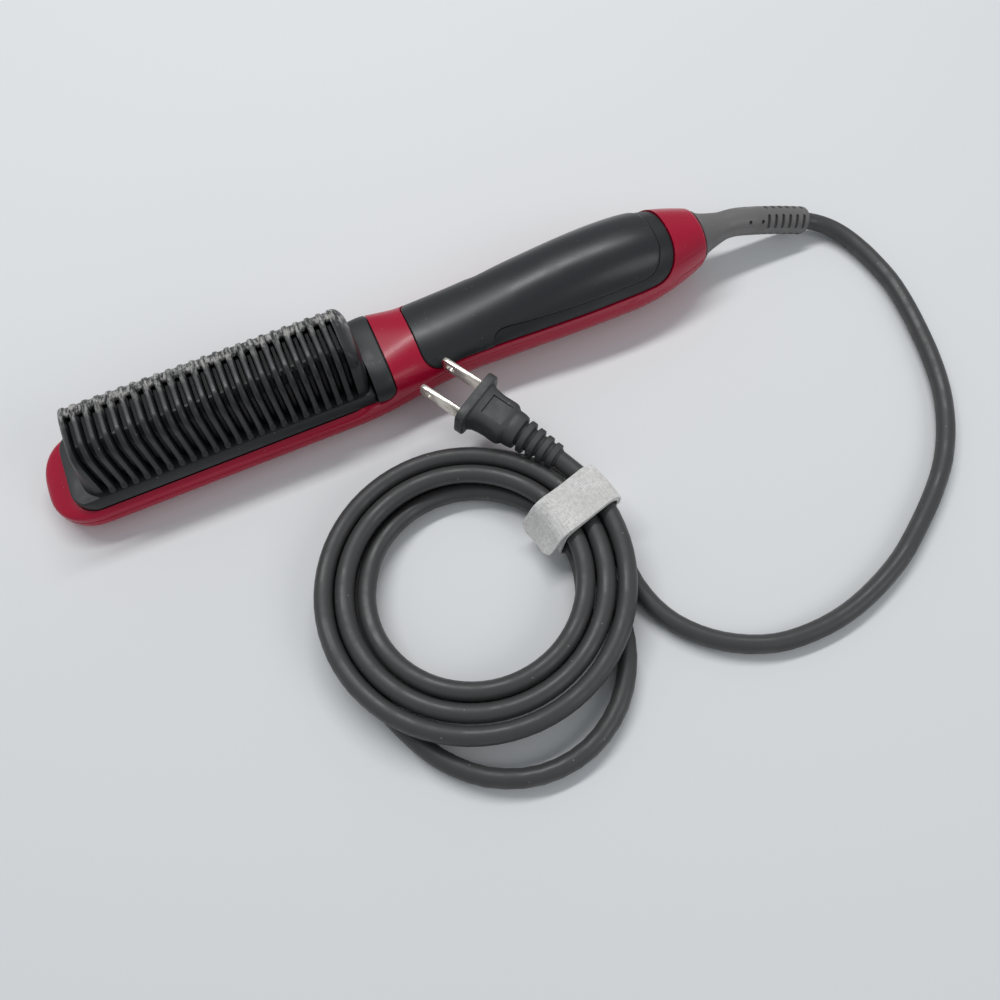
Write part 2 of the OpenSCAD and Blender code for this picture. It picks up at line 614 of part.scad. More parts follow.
// Distance along the body, drop and slope at the length l of the boot
function boot_at(l) = let (
    a = clamp01((l - boot_straight) / arc_1) * bend_1[1],
    b = clamp01((l - boot_straight - arc_1) / arc_2) * bend_2[1])
    [min(l, boot_straight) + bend_1[0] * sin(a) + bend_2[0] * (sin(bend_1[1] + b) - sin(bend_1[1])),
        bend_1[0] * (1 - cos(a)) + bend_2[0] * (cos(bend_1[1]) - cos(bend_1[1] + b)), a + b];
// Rings of the boot: [length, radius]
boot_rings = concat([[0, boot_base_d / 2]],
    [for (i = [0 : 6]) [mix(1, boot_straight, i / 6), mix(boot_r, boot_base_d / 2, pow(1 - i / 6, 2.2))]],
    [for (i = [1 : 4]) [boot_straight + arc_1 * i / 4, boot_r]],
    [for (i = [1 : 5]) [boot_l - arc_2 + (arc_2 - 0.6) * i / 5, boot_r]], [[boot_l, boot_r - 0.6]]);
boot_path = [for (r = boot_rings) let (p = boot_at(r[0])) [p[0], 0, -p[1]]];
boot_slope = boot_at(boot_l)[2];
module cord_boot() color(boot_grey) translate([at(body_l) + boot_gap, 0, axis_z]) rotate([-boot_turn, 0, 0])
    difference() {
        lofted(path_rings(boot_path, [for (r = boot_rings) r[1]], 24, [1, 0, 0], [cos(boot_slope), 0, -sin(boot_slope)]));
        rotate([0, 90, 0]) translate([0, 0, -1]) cylinder(d = journal_d + 2 * slip, h = boot_grip_l + 1.5);
        for (i = [0 : boot_slots - 1], row = [0 : 3])
            let (p = boot_at(boot_l - 2.4 - i * boot_slot_pitch))
            translate([p[0], 0, -p[1]]) rotate([0, p[2], 0]) rotate([90 * row + 25 + boot_turn, 0, 0])
                translate([0, 0, boot_r - 1.3]) linear_extrude(3)
                    polygon([for (a = [0 : 20 : 340]) [0.7 * cos(a), 0.7 * sin(a) + 1.6 * sign(sin(a))]]);
    }

// Route of the cord from the boot to the coil
cord_r = cord_d / 2;
cord_gap = 0.9;
boot_out = boot_at(boot_l);
boot_end = [at(body_l) + boot_gap + boot_out[0], -boot_out[1] * sin(boot_turn), axis_z - boot_out[1] * cos(boot_turn)];
boot_dir = [cos(boot_slope), -sin(boot_slope) * sin(boot_turn), -sin(boot_slope) * cos(boot_turn)];
cord_from = [166.86, -4.77, 6.9];
cord_points = [[171.4, -6.4, 5.5], [175.1, -9.3, 4.7], [178.1, -13.1, 4.1], [180.4, -17.8, 3.7], [182, -23.2, 3.5],
    [183.2, -29, 3.3], [184.3, -40, 3.2], [183.5, -51, 3.2], [181.5, -63, 3.2], [178.5, -76, 3.2], [174, -89, 3.2], [167.5, -101, 3.2], [159, -112, 3.2],
    [149, -121, 3.2], [138, -129, 3.2], [126, -136.5, 3.2], [113, -142, 3.2], [100, -145.5, 3.2], [87, -146.5, 3.2],
    [74.5, -145, 3.2], [63, -140, 3.2], [53.5, -132.5, 3.2], [46.5, -122.5, 3.2], [43, -109.5, 3.4]];
// The route follows the boot's end, less and less towards the coil
cord_path = concat([boot_end + cord_gap * boot_dir], [for (i = [0 : len(cord_points) - 1])
    cord_points[i] + (boot_end - cord_from) * (1 - i / (len(cord_points) - 1))]);
coil_at = [-6.6, -89.4];
coil_a0 = -4;
coil_turns = 5.1;
coil_turnback = 2.44;
coil_z = 4;
plug_z = 14;
// The coil spirals in, climbs to the second layer and spirals out; one loose loop lies outside it
function loose(a) = let (u = (a + 88 - 360) / 72) abs(u) < 1 ? 18.5 * pow(1 - u * u, 2) : 0;
function coil_point(t) = let (
    a = 360 * t,
    r = coil_r + coil_pitch * abs(t - coil_turnback) + loose(a + coil_a0),
    z = coil_z + coil_step * ease(t, coil_turnback - 0.25, coil_turnback + 0.25)
        + (plug_z - coil_z - coil_step) * pow(ramp(t, coil_turns - 0.3, coil_turns), 2))
    [coil_at.x + r * cos(coil_a0 + a), coil_at.y + r * sin(coil_a0 + a), z];
coil_rings = round(24 * coil_turns);
coil_path = [for (i = [0 : coil_rings]) coil_point(coil_turns * i / coil_rings)];
function level(v) = [v.x, v.y, 0];
coil_start = level(coil_point(0.002) - coil_point(0));
coil_end = level(coil_point(coil_turns) - coil_point(coil_turns - 0.002));
// The plug lies on the coil, turned a little inwards and up to the handle
plug_tilt = 7.7;
plug_heading = atan2(coil_end.y, coil_end.x) + 1.6;
plug_dir = [cos(plug_heading) * cos(plug_tilt), sin(plug_heading) * cos(plug_tilt), sin(plug_tilt)];
coil_gap = min([for (i = [0 : 3 : coil_rings], j = [i + 12 : coil_rings]) norm(coil_path[i] - coil_path[j])]) - cord_d;
echo(coil_gap = coil_gap);
module cord_free() color(cord_grey) lofted(path_rings(concat(cord_path, [coil_path[0]]), cord_r, 8,
    boot_dir, coil_start));
module cord_coil() color(cord_grey) lofted(path_rings(coil_path, cord_r, 6, coil_start, plug_dir));

// Plug
plug_l = 35.4;
relief_l = 15.5;
module place_plug() {
    translate(coil_point(coil_turns)) rotate([0, -plug_tilt, plug_heading]) children();
}
// Sections of the plug: [distance, half width, half height, squareness]
plug_sections = [[relief_l - 0.5, 5.2, 5, 2.2], [relief_l, 5.9, 5.5, 2.4], [17, 6.1, 5.6, 2.6], [19.2, 6.1, 5.6, 2.8],
    [20.4, 6.8, 5.8, 3.4], [24, 7, 6, 4], [30.5, 7.4, 6.1, 4.4], [31.6, 10.2, 6.8, 5], [32.3, 10.6, 7, 6],
    [plug_l - 0.4, 10.6, 7, 6], [plug_l, 10.2, 6.6, 6]];
module plug_body() color(black) place_plug() difference() {
    union() {
        lofted([for (p = plug_sections) [for (a = [345 : -15 : 0])
            [p[0], p[1] * bent(cos(a), p[3]), p[2] * bent(sin(a), p[3])]]]);
        rotate([0, 90, 0]) cylinder(r = cord_r + 0.3, h = relief_l + 1);
        for (i = [0 : 3]) translate([0.5 + 3.7 * i, 0, 0]) rotate([0, 90, 0]) cylinder(r = 4.2 + 0.4 * i, h = 2.4);
    }
    translate([21, -3.9, 5.5]) cube([8, 7.8, 3]);
    for (m = [-1, 1]) translate([plug_l - 6, m * blade_gap / 2 - blade_t / 2 - slip, -blade_h / 2 - slip])
        cube([8, blade_t + 2 * slip, blade_h + 2 * slip]);
}
blade_t = 1.5;
blade_h = 6.35;
module plug_blades() color(metal) place_plug() for (m = [-1, 1]) translate([0, m * blade_gap / 2, 0]) difference() {
    translate([0, blade_t / 2, 0]) rotate([90, 0, 0]) linear_extrude(blade_t)
        polygon([[plug_l - 5.8, -blade_h / 2], [plug_l + blade_l - 2, -blade_h / 2], [plug_l + blade_l, -1.8],
            [plug_l + blade_l, 1.8], [plug_l + blade_l - 2, blade_h / 2], [plug_l - 5.8, blade_h / 2]]);
    translate([plug_l + blade_l - 3.6, 0, 0]) rotate([90, 0, 0]) cylinder(d = 3, h = 4, center = true);
}

// Strap: a band round all the strands at one place of the coil
strap_a = [5, 5 + strap_w / 43 * 180 / PI];
strands = [for (k = [0 : 5], a = strap_a) let (p = coil_point(min(coil_turns, k + (a - coil_a0) / 360)))
    [norm([p.x, p.y] - coil_at), p.z]];
module strap_outline(gap) {
    hull() for (p = strands) translate(p) circle(r = cord_r + gap, $fn = 24);
}
module cable_strap() color(strap_grey) translate([coil_at.x, coil_at.y, 0]) rotate([0, 0, strap_a[0]])
    rotate_extrude(angle = strap_a[1] - strap_a[0]) intersection() {
        difference() {
            strap_outline(0.5 + strap_t);
            strap_outline(0.5);
        }
        translate([0, 0.02]) square([200, 100]);
    }

comb_cover();
heater_plate();
heater_element();
heater_clamp();
heat_shield();
thermal_cutout();
temperature_sensor();
heater_screws();
neck_collar();
upper_shell();
lower_shell();
grip_pad();
grip_bezel();
control_panel();
display_window();
display_module();
control_board();
button_switches();
board_screws();
power_button();
plus_button();
minus_button();
housing_screws();
heater_leads();
supply_leads();
contact_block();
contact_leaves();
swivel_bush();
swivel_sleeve();
cord_boot();
cord_free();
cord_coil();
plug_body();
plug_blades();
cable_strap();
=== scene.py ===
# %% [markdown]
# # A hair straightening brush, lying on its back beside its coiled cord
#
# The real object is a red plastic body in two halves, a black slotted comb over a
# heated plate with fins, a soft grip and a swivelling grey boot that lets the mains
# cord out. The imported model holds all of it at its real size. Here the pieces that
# show get smooth surfaces and finishes, in the same places, so nothing is fitted by eye.

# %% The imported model
import json
import math
import bmesh
import bpy
from mathutils import Matrix, Vector
from mathutils.bvhtree import BVHTree
from mathutils.interpolate import poly_3d_calc

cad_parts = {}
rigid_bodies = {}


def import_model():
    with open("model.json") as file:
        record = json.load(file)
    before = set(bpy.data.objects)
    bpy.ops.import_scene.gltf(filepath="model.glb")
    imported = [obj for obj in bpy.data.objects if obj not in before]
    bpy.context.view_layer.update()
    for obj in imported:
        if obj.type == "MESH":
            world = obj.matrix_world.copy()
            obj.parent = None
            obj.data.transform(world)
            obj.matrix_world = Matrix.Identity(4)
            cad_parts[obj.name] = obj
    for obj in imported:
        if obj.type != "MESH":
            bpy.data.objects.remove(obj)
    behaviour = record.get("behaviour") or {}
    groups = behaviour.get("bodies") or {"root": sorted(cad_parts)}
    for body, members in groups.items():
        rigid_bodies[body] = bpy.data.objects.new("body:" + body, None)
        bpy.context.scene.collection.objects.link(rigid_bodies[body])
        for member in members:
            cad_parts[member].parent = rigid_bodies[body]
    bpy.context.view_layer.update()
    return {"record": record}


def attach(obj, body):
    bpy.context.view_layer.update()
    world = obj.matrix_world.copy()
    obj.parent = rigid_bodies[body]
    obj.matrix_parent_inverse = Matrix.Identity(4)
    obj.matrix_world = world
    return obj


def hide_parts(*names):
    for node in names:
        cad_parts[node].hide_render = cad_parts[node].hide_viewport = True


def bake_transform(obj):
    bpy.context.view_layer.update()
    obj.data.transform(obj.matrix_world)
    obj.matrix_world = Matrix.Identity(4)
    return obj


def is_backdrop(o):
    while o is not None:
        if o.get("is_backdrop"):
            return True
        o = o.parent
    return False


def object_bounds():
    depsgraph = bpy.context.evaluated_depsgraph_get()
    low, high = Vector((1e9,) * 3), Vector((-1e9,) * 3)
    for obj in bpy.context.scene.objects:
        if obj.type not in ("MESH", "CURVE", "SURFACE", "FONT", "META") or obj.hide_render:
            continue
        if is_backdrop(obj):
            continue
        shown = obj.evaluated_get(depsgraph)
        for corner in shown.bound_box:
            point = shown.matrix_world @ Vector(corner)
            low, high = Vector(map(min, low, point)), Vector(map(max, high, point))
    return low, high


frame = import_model()
mm = 0.001
scene = bpy.context.scene

# %% [markdown]
# ## The camera first
#
# The photograph looks down on the table at a steep angle, with the brush turned about
# 20 degrees and the whole picture rolled a little. A camera can be placed by hand, but
# three measured angles and a distance say the same thing exactly: it looks at one
# point of the table, from a heading and an elevation, and is rolled about its own axis.

# %% Camera
heading, elevation, roll = (math.radians(a) for a in (19.44, 65.41, 4.44))
aim, distance = Vector((15.25, -62.24, 0)) * mm, 324.18
sensor_width, focal_share = 36, 0.94138
level = math.cos(elevation)
away = Vector((-math.sin(heading) * level, -math.cos(heading) * level, math.sin(elevation)))
right = Vector((math.cos(heading), -math.sin(heading), 0))
right.rotate(Matrix.Rotation(-roll, 3, away))
up = away.cross(right)
camera = bpy.data.objects.new("camera", bpy.data.cameras.new("camera"))
scene.collection.objects.link(camera)
camera_turn = Matrix((right, up, away)).transposed().to_4x4()
camera.matrix_world = Matrix.Translation(aim + away * distance * mm) @ camera_turn
camera.data.sensor_width = sensor_width
camera.data.lens = sensor_width * focal_share
camera.data.clip_start, camera.data.clip_end = 0.01, 20
scene.camera = camera
print("camera at", [round(c, 3) for c in camera.matrix_world.translation])

# %% [markdown]
# ## Sizes of the body
#
# Every piece of the body follows one skin. Its section is a superellipse: a round
# corner that a power makes fuller or flatter. Width, height and power change along the
# body, so the flat tray of the head turns into the round grip with no visible joint.
# Millimetres are easier to read, so the formulas work in them, and s is the distance
# from the tip of the head.

# %% Sizes along the body
comb_s, slot_s, slot_n, slot_pitch, slot_w = 8.8, 20.45, 23, 4, 2.25
comb_e, ring_s, grip_s, grip_e, shell_e, body_l = 115, 122.5, 134.5, 232, 246.2, 250.5
neck_s, waist_s, crown_s, tail_s = 106, 150, 208, 214
rim_z, ring_z, grip_z, head_part_z, grip_part_z, axis_z = 13, 23.2, 32.2, 8.8, 15, 15.5
head_w, waist_w, grip_w, tail_d, nose_l, tip, wall = 36, 30.8, 33.6, 17, 17, 0.3, 2.4
print("body", body_l, "mm long, widest", head_w, "mm")


# %% Steps and ramps
def mix(a, b, t):
    return a + (b - a) * t


def ramp(s, a, b):
    """0 up to a, 1 from b on, and even between."""
    return min(1, max(0, (s - a) / (b - a)))


def ease(s, a, b):
    """Like ramp, but it sets off and arrives gently."""
    t = ramp(s, a, b)
    return t * t * (3 - 2 * t)


def steps(a, b, n):
    return [mix(a, b, i / n) for i in range(n + 1)]


print("half way up a gentle ramp:", ease(0.5, 0, 1))


# %% Widths and heights of the skin
def nose(s, length, n):
    """The share of the full section at s, where the head rounds off over a length."""
    t = min(1, (s + tip) / (length + tip))
    return (1 - (1 - t) ** n) ** (1 / n)


def half_w(s):
    """Half the body's width."""
    if s > tail_s:
        return mix(grip_w / 2, tail_d / 2, ramp(s, tail_s, body_l) ** 2)
    side = mix(head_w / 2, waist_w / 2, ease(s, neck_s, waist_s))
    return nose(s, nose_l, 2.4) * side + (grip_w - waist_w) / 2 * ease(s, waist_s, crown_s)


def part_z(s):
    """The height of the parting line."""
    return mix(head_part_z, grip_part_z, ease(s, neck_s + 4, waist_s)) + 0.5 * ease(s, crown_s - 18, tail_s)


def top_z(s):
    """The height of the body: the head's rim, the ring, the grip and the round tail."""
    if s > crown_s:
        return axis_z + mix(grip_z - axis_z, tail_d / 2, ramp(s, crown_s, body_l) ** 2)
    if s > ring_s:
        return mix(ring_z, grip_z, ease(s, ring_s + 7.5, crown_s))
    return mix(rim_z, ring_z, ease(s, neck_s, ring_s - 3))


def rise(s):
    """How far the skin goes up from the parting line."""
    return (top_z(s) - part_z(s)) * nose(s, 0.8 * nose_l, 2)


def depth(s):
    """How far the skin goes down from the parting line."""
    low = part_z(s) + mix(1, 1.5, ease(s, neck_s, waist_s))
    if s > tail_s:
        low = mix(axis_z + 1.5, tail_d / 2, ramp(s, tail_s, body_l) ** 2)
    return low * nose(s, 0.8 * nose_l, 2)


print("grip", 2 * half_w(crown_s), "mm wide and", top_z(crown_s), "mm high")


# %% The skin
def x_of(s):
    return s - body_l / 2


def power(s, upper):
    """The superellipse's power: boxy at the head and nearly round at the grip."""
    if upper:
        return mix(5, 2.2, ease(s, neck_s - 2, grip_s + 2))
    return mix(2.6, 2.3, ease(s, neck_s, waist_s))


def reach(c, s, n):
    """How far a superellipse of power n reaches in the direction with cosine c and sine s."""
    return (abs(c) ** n + abs(s) ** n) ** (-1 / n)


def skin(s, turn, inset=0.0):
    """The point of the skin in the direction turn, in degrees round the section, moved in by inset."""
    upper = 0 <= turn <= 180
    c, k = math.cos(math.radians(turn)), math.sin(math.radians(turn))
    far = reach(c, k, power(s, upper))
    w, h = max(0.4, half_w(s) - inset), max(0.3, (rise(s) if upper else depth(s)) - inset)
    z = part_z(s) + h * far * k
    blunt = tip * (1 - ramp(s, -tip, nose_l))
    return Vector((x_of(s) + blunt, w * far * c, z if upper else max(z, inset))) * mm


print("top of the grip at", [round(c, 4) for c in skin(crown_s, 90)])

# %% [markdown]
# ## Helpers for making pieces
#
# Most pieces are skins over rings or rows of points. Each starts as a flat grid made by
# one operator, and then every point of the grid moves to its place. The grid keeps
# its rows and columns, so the surface stays even and takes a smooth highlight. Openings
# are cut afterwards with helper solids, as a mould's cores would leave them.

# %% Grids and lofts
def close_up(bm):
    """Joins points that coincide and turns all faces outwards."""
    bmesh.ops.remove_doubles(bm, verts=bm.verts[:], dist=1e-7)
    bmesh.ops.dissolve_degenerate(bm, dist=1e-7, edges=bm.edges[:])
    bmesh.ops.recalc_face_normals(bm, faces=bm.faces[:])
    return bm


def loft(rings, caps=True, closed=False, tags=None):
    """A skin over rings of points in metres. closed joins the last ring to the first, and
    tags are kept on the points."""
    count, sides = len(rings) - (not closed), len(rings[0])
    bm = bmesh.new()
    bmesh.ops.create_grid(bm, x_segments=count, y_segments=sides, size=1)
    layer = bm.verts.layers.float_vector.new("weave") if tags else None
    for v in bm.verts:
        i, j = round((v.co.x + 1) / 2 * count) % len(rings), round((v.co.y + 1) / 2 * sides) % sides
        v.co = rings[i][j]
        if tags:
            v[layer] = tags[i][j]
    bmesh.ops.remove_doubles(bm, verts=bm.verts[:], dist=1e-7)
    if caps:
        bmesh.ops.holes_fill(bm, edges=[e for e in bm.edges if e.is_boundary], sides=0)
    return close_up(bm)


def thicken(bm, faces, by):
    """Extrudes the faces and moves the new side up by that much."""
    new = bmesh.ops.extrude_face_region(bm, geom=faces, use_keep_orig=True)["geom"]
    bmesh.ops.translate(bm, verts=[v for v in new if isinstance(v, bmesh.types.BMVert)], vec=(0, 0, by))


def slabbed_grid(rows, columns, place):
    """A closed slab: a grid of rows by columns with a back face, and place(row, column, back)
    gives each point."""
    bm = bmesh.new()
    bmesh.ops.create_grid(bm, x_segments=rows, y_segments=columns, size=1)
    thicken(bm, bm.faces[:], 1)
    for v in bm.verts:
        v.co = place(round((v.co.x + 1) / 2 * rows), round((v.co.y + 1) / 2 * columns), v.co.z > 0.5)
    return close_up(bm)


print("grids and lofts ready")


# %% Prisms, rounded edges and cuts
def prism(outline, z0, z1, turn=None):
    """A prism with the outline, a list of points in mm, from z0 to z1. turn moves it from there."""
    bm = bmesh.new()
    face = bm.faces.new([bm.verts.new((x * mm, y * mm, z0 * mm)) for x, y in outline])
    thicken(bm, [face], (z1 - z0) * mm)
    bmesh.ops.transform(bm, matrix=turn or Matrix(), verts=bm.verts[:])
    return close_up(bm)


def rounded(bm, width, segments=2, angle=40):
    """Rounds every edge sharper than the angle."""
    edges = [e for e in bm.edges if len(e.link_faces) == 2 and e.calc_face_angle() > math.radians(angle)]
    bmesh.ops.bevel(bm, geom=edges, offset=width * mm, offset_type="OFFSET", segments=segments, profile=0.5,
                    affect="EDGES", clamp_overlap=True, material=-1)
    return bm


def merged(parts):
    """One bmesh of several."""
    bm = bmesh.new()
    for part in parts:
        mesh = bpy.data.meshes.new("part")
        part.to_mesh(mesh)
        part.free()
        bm.from_mesh(mesh)
        bpy.data.meshes.remove(mesh)
    return bm


def loose_object(name, bm):
    """An object of a bmesh, which it frees."""
    mesh = bpy.data.meshes.new(name)
    bm.to_mesh(mesh)
    bm.free()
    obj = bpy.data.objects.new(name, mesh)
    scene.collection.objects.link(obj)
    return obj


def carve(bm, *cutters):
    """Cuts helper solids from a closed bmesh, one after the other, and returns the result."""
    body, tools = loose_object("blank", bm), [loose_object("cutter", c) for c in cutters]
    for cutter in tools:
        cut = body.modifiers.new("cut", "BOOLEAN")
        cut.operation, cut.solver, cut.object = "DIFFERENCE", "EXACT", cutter
    shape = bmesh.new()
    shape.from_object(body, bpy.context.evaluated_depsgraph_get())
    for obj in [body, *tools]:
        mesh = obj.data
        bpy.data.objects.remove(obj)
        bpy.data.meshes.remove(mesh)
    bmesh.ops.remove_doubles(shape, verts=shape.verts[:], dist=2e-6)
    return shape


print("prisms and cuts ready")


# %% Outlines in millimetres
def round_box(s0, s1, half, r0, r1, n=8):
    """A rectangle with round corners, in mm: r0 at its low end and r1 at its high end."""
    corners = [(s1 - r1, -half + r1, r1, -90), (s1 - r1, half - r1, r1, 0),
               (s0 + r0, half - r0, r0, 90), (s0 + r0, -half + r0, r0, 180)]
    return [(x_of(s) + r * math.cos(math.radians(a + b)), y + r * math.sin(math.radians(a + b)))
            for s, y, r, a in corners for b in steps(0, 90, n)]


def spokes(n):
    """The cosines and sines of n even directions."""
    return [(math.cos(math.tau * i / n), math.sin(math.tau * i / n)) for i in range(n)]


def circle(s, y, r, n=48):
    return [(x_of(s) + r * c, y + r * k) for c, k in spokes(n)]


def bar(s, y, half_long, half_wide):
    """A rectangle about (s, y)."""
    x0, x1 = x_of(s) - half_long, x_of(s) + half_long
    return [(x0, y - half_wide), (x1, y - half_wide), (x1, y + half_wide), (x0, y + half_wide)]


def arc(x, y, r, a0, a1, n):
    """Points round (x, y) in n steps, from the angle a0 to a1 in radians."""
    return [(x + r * math.cos(a), y + r * math.sin(a)) for a in steps(a0, a1, n)]


def turned(s, y, profile, sides):
    """A round piece that stands at (s, y). profile lists its heights and radii in mm."""
    return loft([[Vector((*point, z)) * mm for point in circle(s, y, r, sides)] for z, r in profile])


sideways = Matrix.Rotation(math.pi / 2, 4, "X")
endways = Matrix(((0, 0, 1, 0), (1, 0, 0, 0), (0, 1, 0, 0), (0, 0, 0, 1)))
print("a full circle takes", len(circle(0, 0, 1)), "points")

# %% [markdown]
# ## Finishes
#
# Moulded plastic is never one flat colour. It has a fine grain from the mould, broad
# patches where hands have polished it, and flecks of dust. Those are the same kind of
# mark on every piece, at other scales, so they are a node group with named inputs that
# the materials place with their own values. The marks use Object coordinates, which
# stay put on the piece from every side.

# %% Node helpers
def new_group(name, numbers, outputs):
    """A node group that takes a Position and named numbers, and gives named numbers."""
    group = bpy.data.node_groups.new(name, "ShaderNodeTree")
    group.interface.new_socket("Position", in_out="INPUT", socket_type="NodeSocketVector")
    for label, value in numbers.items():
        socket = group.interface.new_socket(label, in_out="INPUT", socket_type="NodeSocketFloat")
        socket.default_value = value
    for label in outputs:
        group.interface.new_socket(label, in_out="OUTPUT", socket_type="NodeSocketFloat")
    return group, group.nodes.new("NodeGroupInput").outputs, group.nodes.new("NodeGroupOutput").inputs


def node(tree, kind, inputs=(), **settings):
    """Adds a node, sets its options, and links or sets its inputs."""
    made = tree.nodes.new(kind)
    for key, value in settings.items():
        setattr(made, key, value)
    for key, value in dict(inputs).items():
        if isinstance(value, bpy.types.NodeSocket):
            tree.links.new(value, made.inputs[key])
        else:
            made.inputs[key].default_value = value
    return made


def soft_step(tree, value, low, high, out_low=0.0, out_high=1.0):
    """out_low below low, out_high above high, and smooth between."""
    return node(tree, "ShaderNodeMapRange", {0: value, 1: low, 2: high, 3: out_low, 4: out_high},
                interpolation_type="SMOOTHSTEP", clamp=True).outputs[0]


def math_node(tree, operation, a, b=0.0):
    return node(tree, "ShaderNodeMath", {0: a, 1: b}, operation=operation).outputs[0]


def noise(tree, place, scale, detail, rough=0.5):
    inputs = {"Vector": place, "Scale": scale, "Detail": detail, "Roughness": rough}
    return node(tree, "ShaderNodeTexNoise", inputs).outputs[0]


def drawn_out(tree, place, scale):
    """The place with each axis scaled by itself, so that marks get longer one way."""
    return node(tree, "ShaderNodeMapping", {"Vector": place, "Scale": scale}).outputs[0]


def shade(tree, factor, a, b):
    """A colour between a and b."""
    a, b = ((*c, 1) if isinstance(c, tuple) else c for c in (a, b))
    return node(tree, "ShaderNodeMix", {0: factor, 6: a, 7: b}, data_type="RGBA").outputs[2]


def between(tree, factor, a, b):
    """A number between a and b."""
    return node(tree, "ShaderNodeMix", {0: factor, 2: a, 3: b}, data_type="FLOAT").outputs[0]


print("node helpers ready")

# %% A group for grain, patches and dust
marks, enter, leave = new_group("moulded_marks", {"Grain Scale": 2500.0, "Patch Scale": 60.0},
                                ("Grain", "Patch", "Dust", "Streak"))
patch = noise(marks, enter["Position"], enter["Patch Scale"], 5.0, 0.6)
fleck = node(marks, "ShaderNodeTexVoronoi", {"Vector": enter["Position"], "Scale": 420.0}, feature="F1")
lucky = math_node(marks, "GREATER_THAN", fleck.outputs["Color"], 0.72)
small = math_node(marks, "LESS_THAN", fleck.outputs["Distance"], 0.1)
streak_place = drawn_out(marks, enter["Position"], (60.0, 900.0, 900.0))
for label, source in (("Grain", noise(marks, enter["Position"], enter["Grain Scale"], 2.0)),
                      ("Patch", soft_step(marks, patch, 0.35, 0.68)),
                      ("Dust", math_node(marks, "MULTIPLY", lucky, small)),
                      ("Streak", noise(marks, streak_place, 1.0, 3.0))):
    marks.links.new(source, leave[label])
print("group", marks.name, "made")

# %% [markdown]
# The comb has been through a lot of hair, and its high parts show pale scuffing. That pale is laid only on
# the far side, which faces the strip light, so it is also a painted highlight. A second group makes that mask
# from the height and the side alone, broken up by noise that is drawn out the way hair runs.

# %% A group for crest scuffing and a painted highlight
scuffs_and_highlight, enter, leave = new_group("crest_scuffs_and_highlight", {"Side Low": 0.0, "Side High": 0.0065}, ("Mask", "Crest Noise"))
axes = node(scuffs_and_highlight, "ShaderNodeSeparateXYZ", {0: enter["Position"]}).outputs
high = soft_step(scuffs_and_highlight, axes["Z"], 0.027, 0.035)
# The far side faces the strip light, so limiting the pale to it paints a highlight there as well as scuffing.
far = soft_step(scuffs_and_highlight, axes["Y"], enter["Side Low"], enter["Side High"])
crest_noise = noise(scuffs_and_highlight, drawn_out(scuffs_and_highlight, enter["Position"], (900.0, 260.0, 260.0)), 1.0, 6.0, 0.74)
broken = soft_step(scuffs_and_highlight, crest_noise, 0.43, 0.6)
crest = math_node(scuffs_and_highlight, "MULTIPLY", math_node(scuffs_and_highlight, "MULTIPLY", high, far), broken)
scuffs_and_highlight.links.new(crest, leave["Mask"])
scuffs_and_highlight.links.new(crest_noise, leave["Crest Noise"])
print("group", scuffs_and_highlight.name, "made")


# %% A recipe for finishes
def new_material(name):
    """A material, its node tree and its surface's inputs."""
    material = bpy.data.materials.new(name)
    material.use_nodes = True
    return material, material.node_tree, material.node_tree.nodes["Principled BSDF"].inputs


def own_place(tree):
    """The place on the piece itself."""
    return node(tree, "ShaderNodeTexCoord").outputs["Object"]


def add_bump(tree, surface, height, deep, strength=1.0):
    """Bumps up to deep, in mm."""
    bump = node(tree, "ShaderNodeBump", {"Strength": strength, "Distance": deep * mm, "Height": height})
    tree.links.new(bump.outputs[0], surface["Normal"])


def dimmed(colour, share):
    return tuple(c * (1 - share) for c in colour)


def finish(slot, colour, rough, spread=0.08, patch=0.15, patch_scale=60.0, grain=0.02, grain_scale=2500.0,
           dust=0.0, metallic=0.0, coat=0.0, sheen=0.0, streaks=0.0, scuffed_and_lit=0.0, specular=0.5):
    """A material with mould grain, polished patches and dust, and crest scuffing that is partly a painted
    highlight. grain is its depth in mm.
    """
    material, tree, surface = new_material(slot)
    place = own_place(tree)
    scales = {"Grain Scale": grain_scale, "Patch Scale": patch_scale}
    mark = node(tree, "ShaderNodeGroup", {"Position": place, **scales}, node_tree=marks).outputs
    base = shade(tree, mark["Patch"], dimmed(colour, patch), colour)
    gloss = soft_step(tree, mark["Patch"], 0, 1, rough + spread, rough - spread)
    height = mark["Grain"]
    if streaks:
        base = shade(tree, soft_step(tree, mark["Streak"], 0.35, 0.7), base, dimmed(colour, streaks))
        height = mark["Streak"]
    if scuffed_and_lit:
        wear_and_highlight = node(tree, "ShaderNodeGroup", {"Position": place}, node_tree=scuffs_and_highlight).outputs
        mask = math_node(tree, "MULTIPLY", wear_and_highlight["Mask"], scuffed_and_lit)
        # The pale crest colour is scuffing and also a painted highlight on the far side, which faces the
        # light.
        base = shade(tree, mask, base, shade(tree, wear_and_highlight["Crest Noise"], (0.13, 0.125, 0.12), (0.72, 0.7, 0.67)))
        gloss = between(tree, mask, gloss, 0.62)
        height = between(tree, mask, height, wear_and_highlight["Crest Noise"])
    if dust:
        base = shade(tree, math_node(tree, "MULTIPLY", mark["Dust"], dust), base, (0.55, 0.53, 0.5))
    tree.links.new(base, surface["Base Color"])
    tree.links.new(gloss, surface["Roughness"])
    add_bump(tree, surface, height, grain)
    for label, value in (("Metallic", metallic), ("Coat Weight", coat), ("Coat Roughness", 0.06),
                         ("Sheen Weight", sheen), ("Sheen Roughness", 0.4), ("Specular IOR Level", specular)):
        surface[label].default_value = value
    return material


print("recipe for finishes ready")

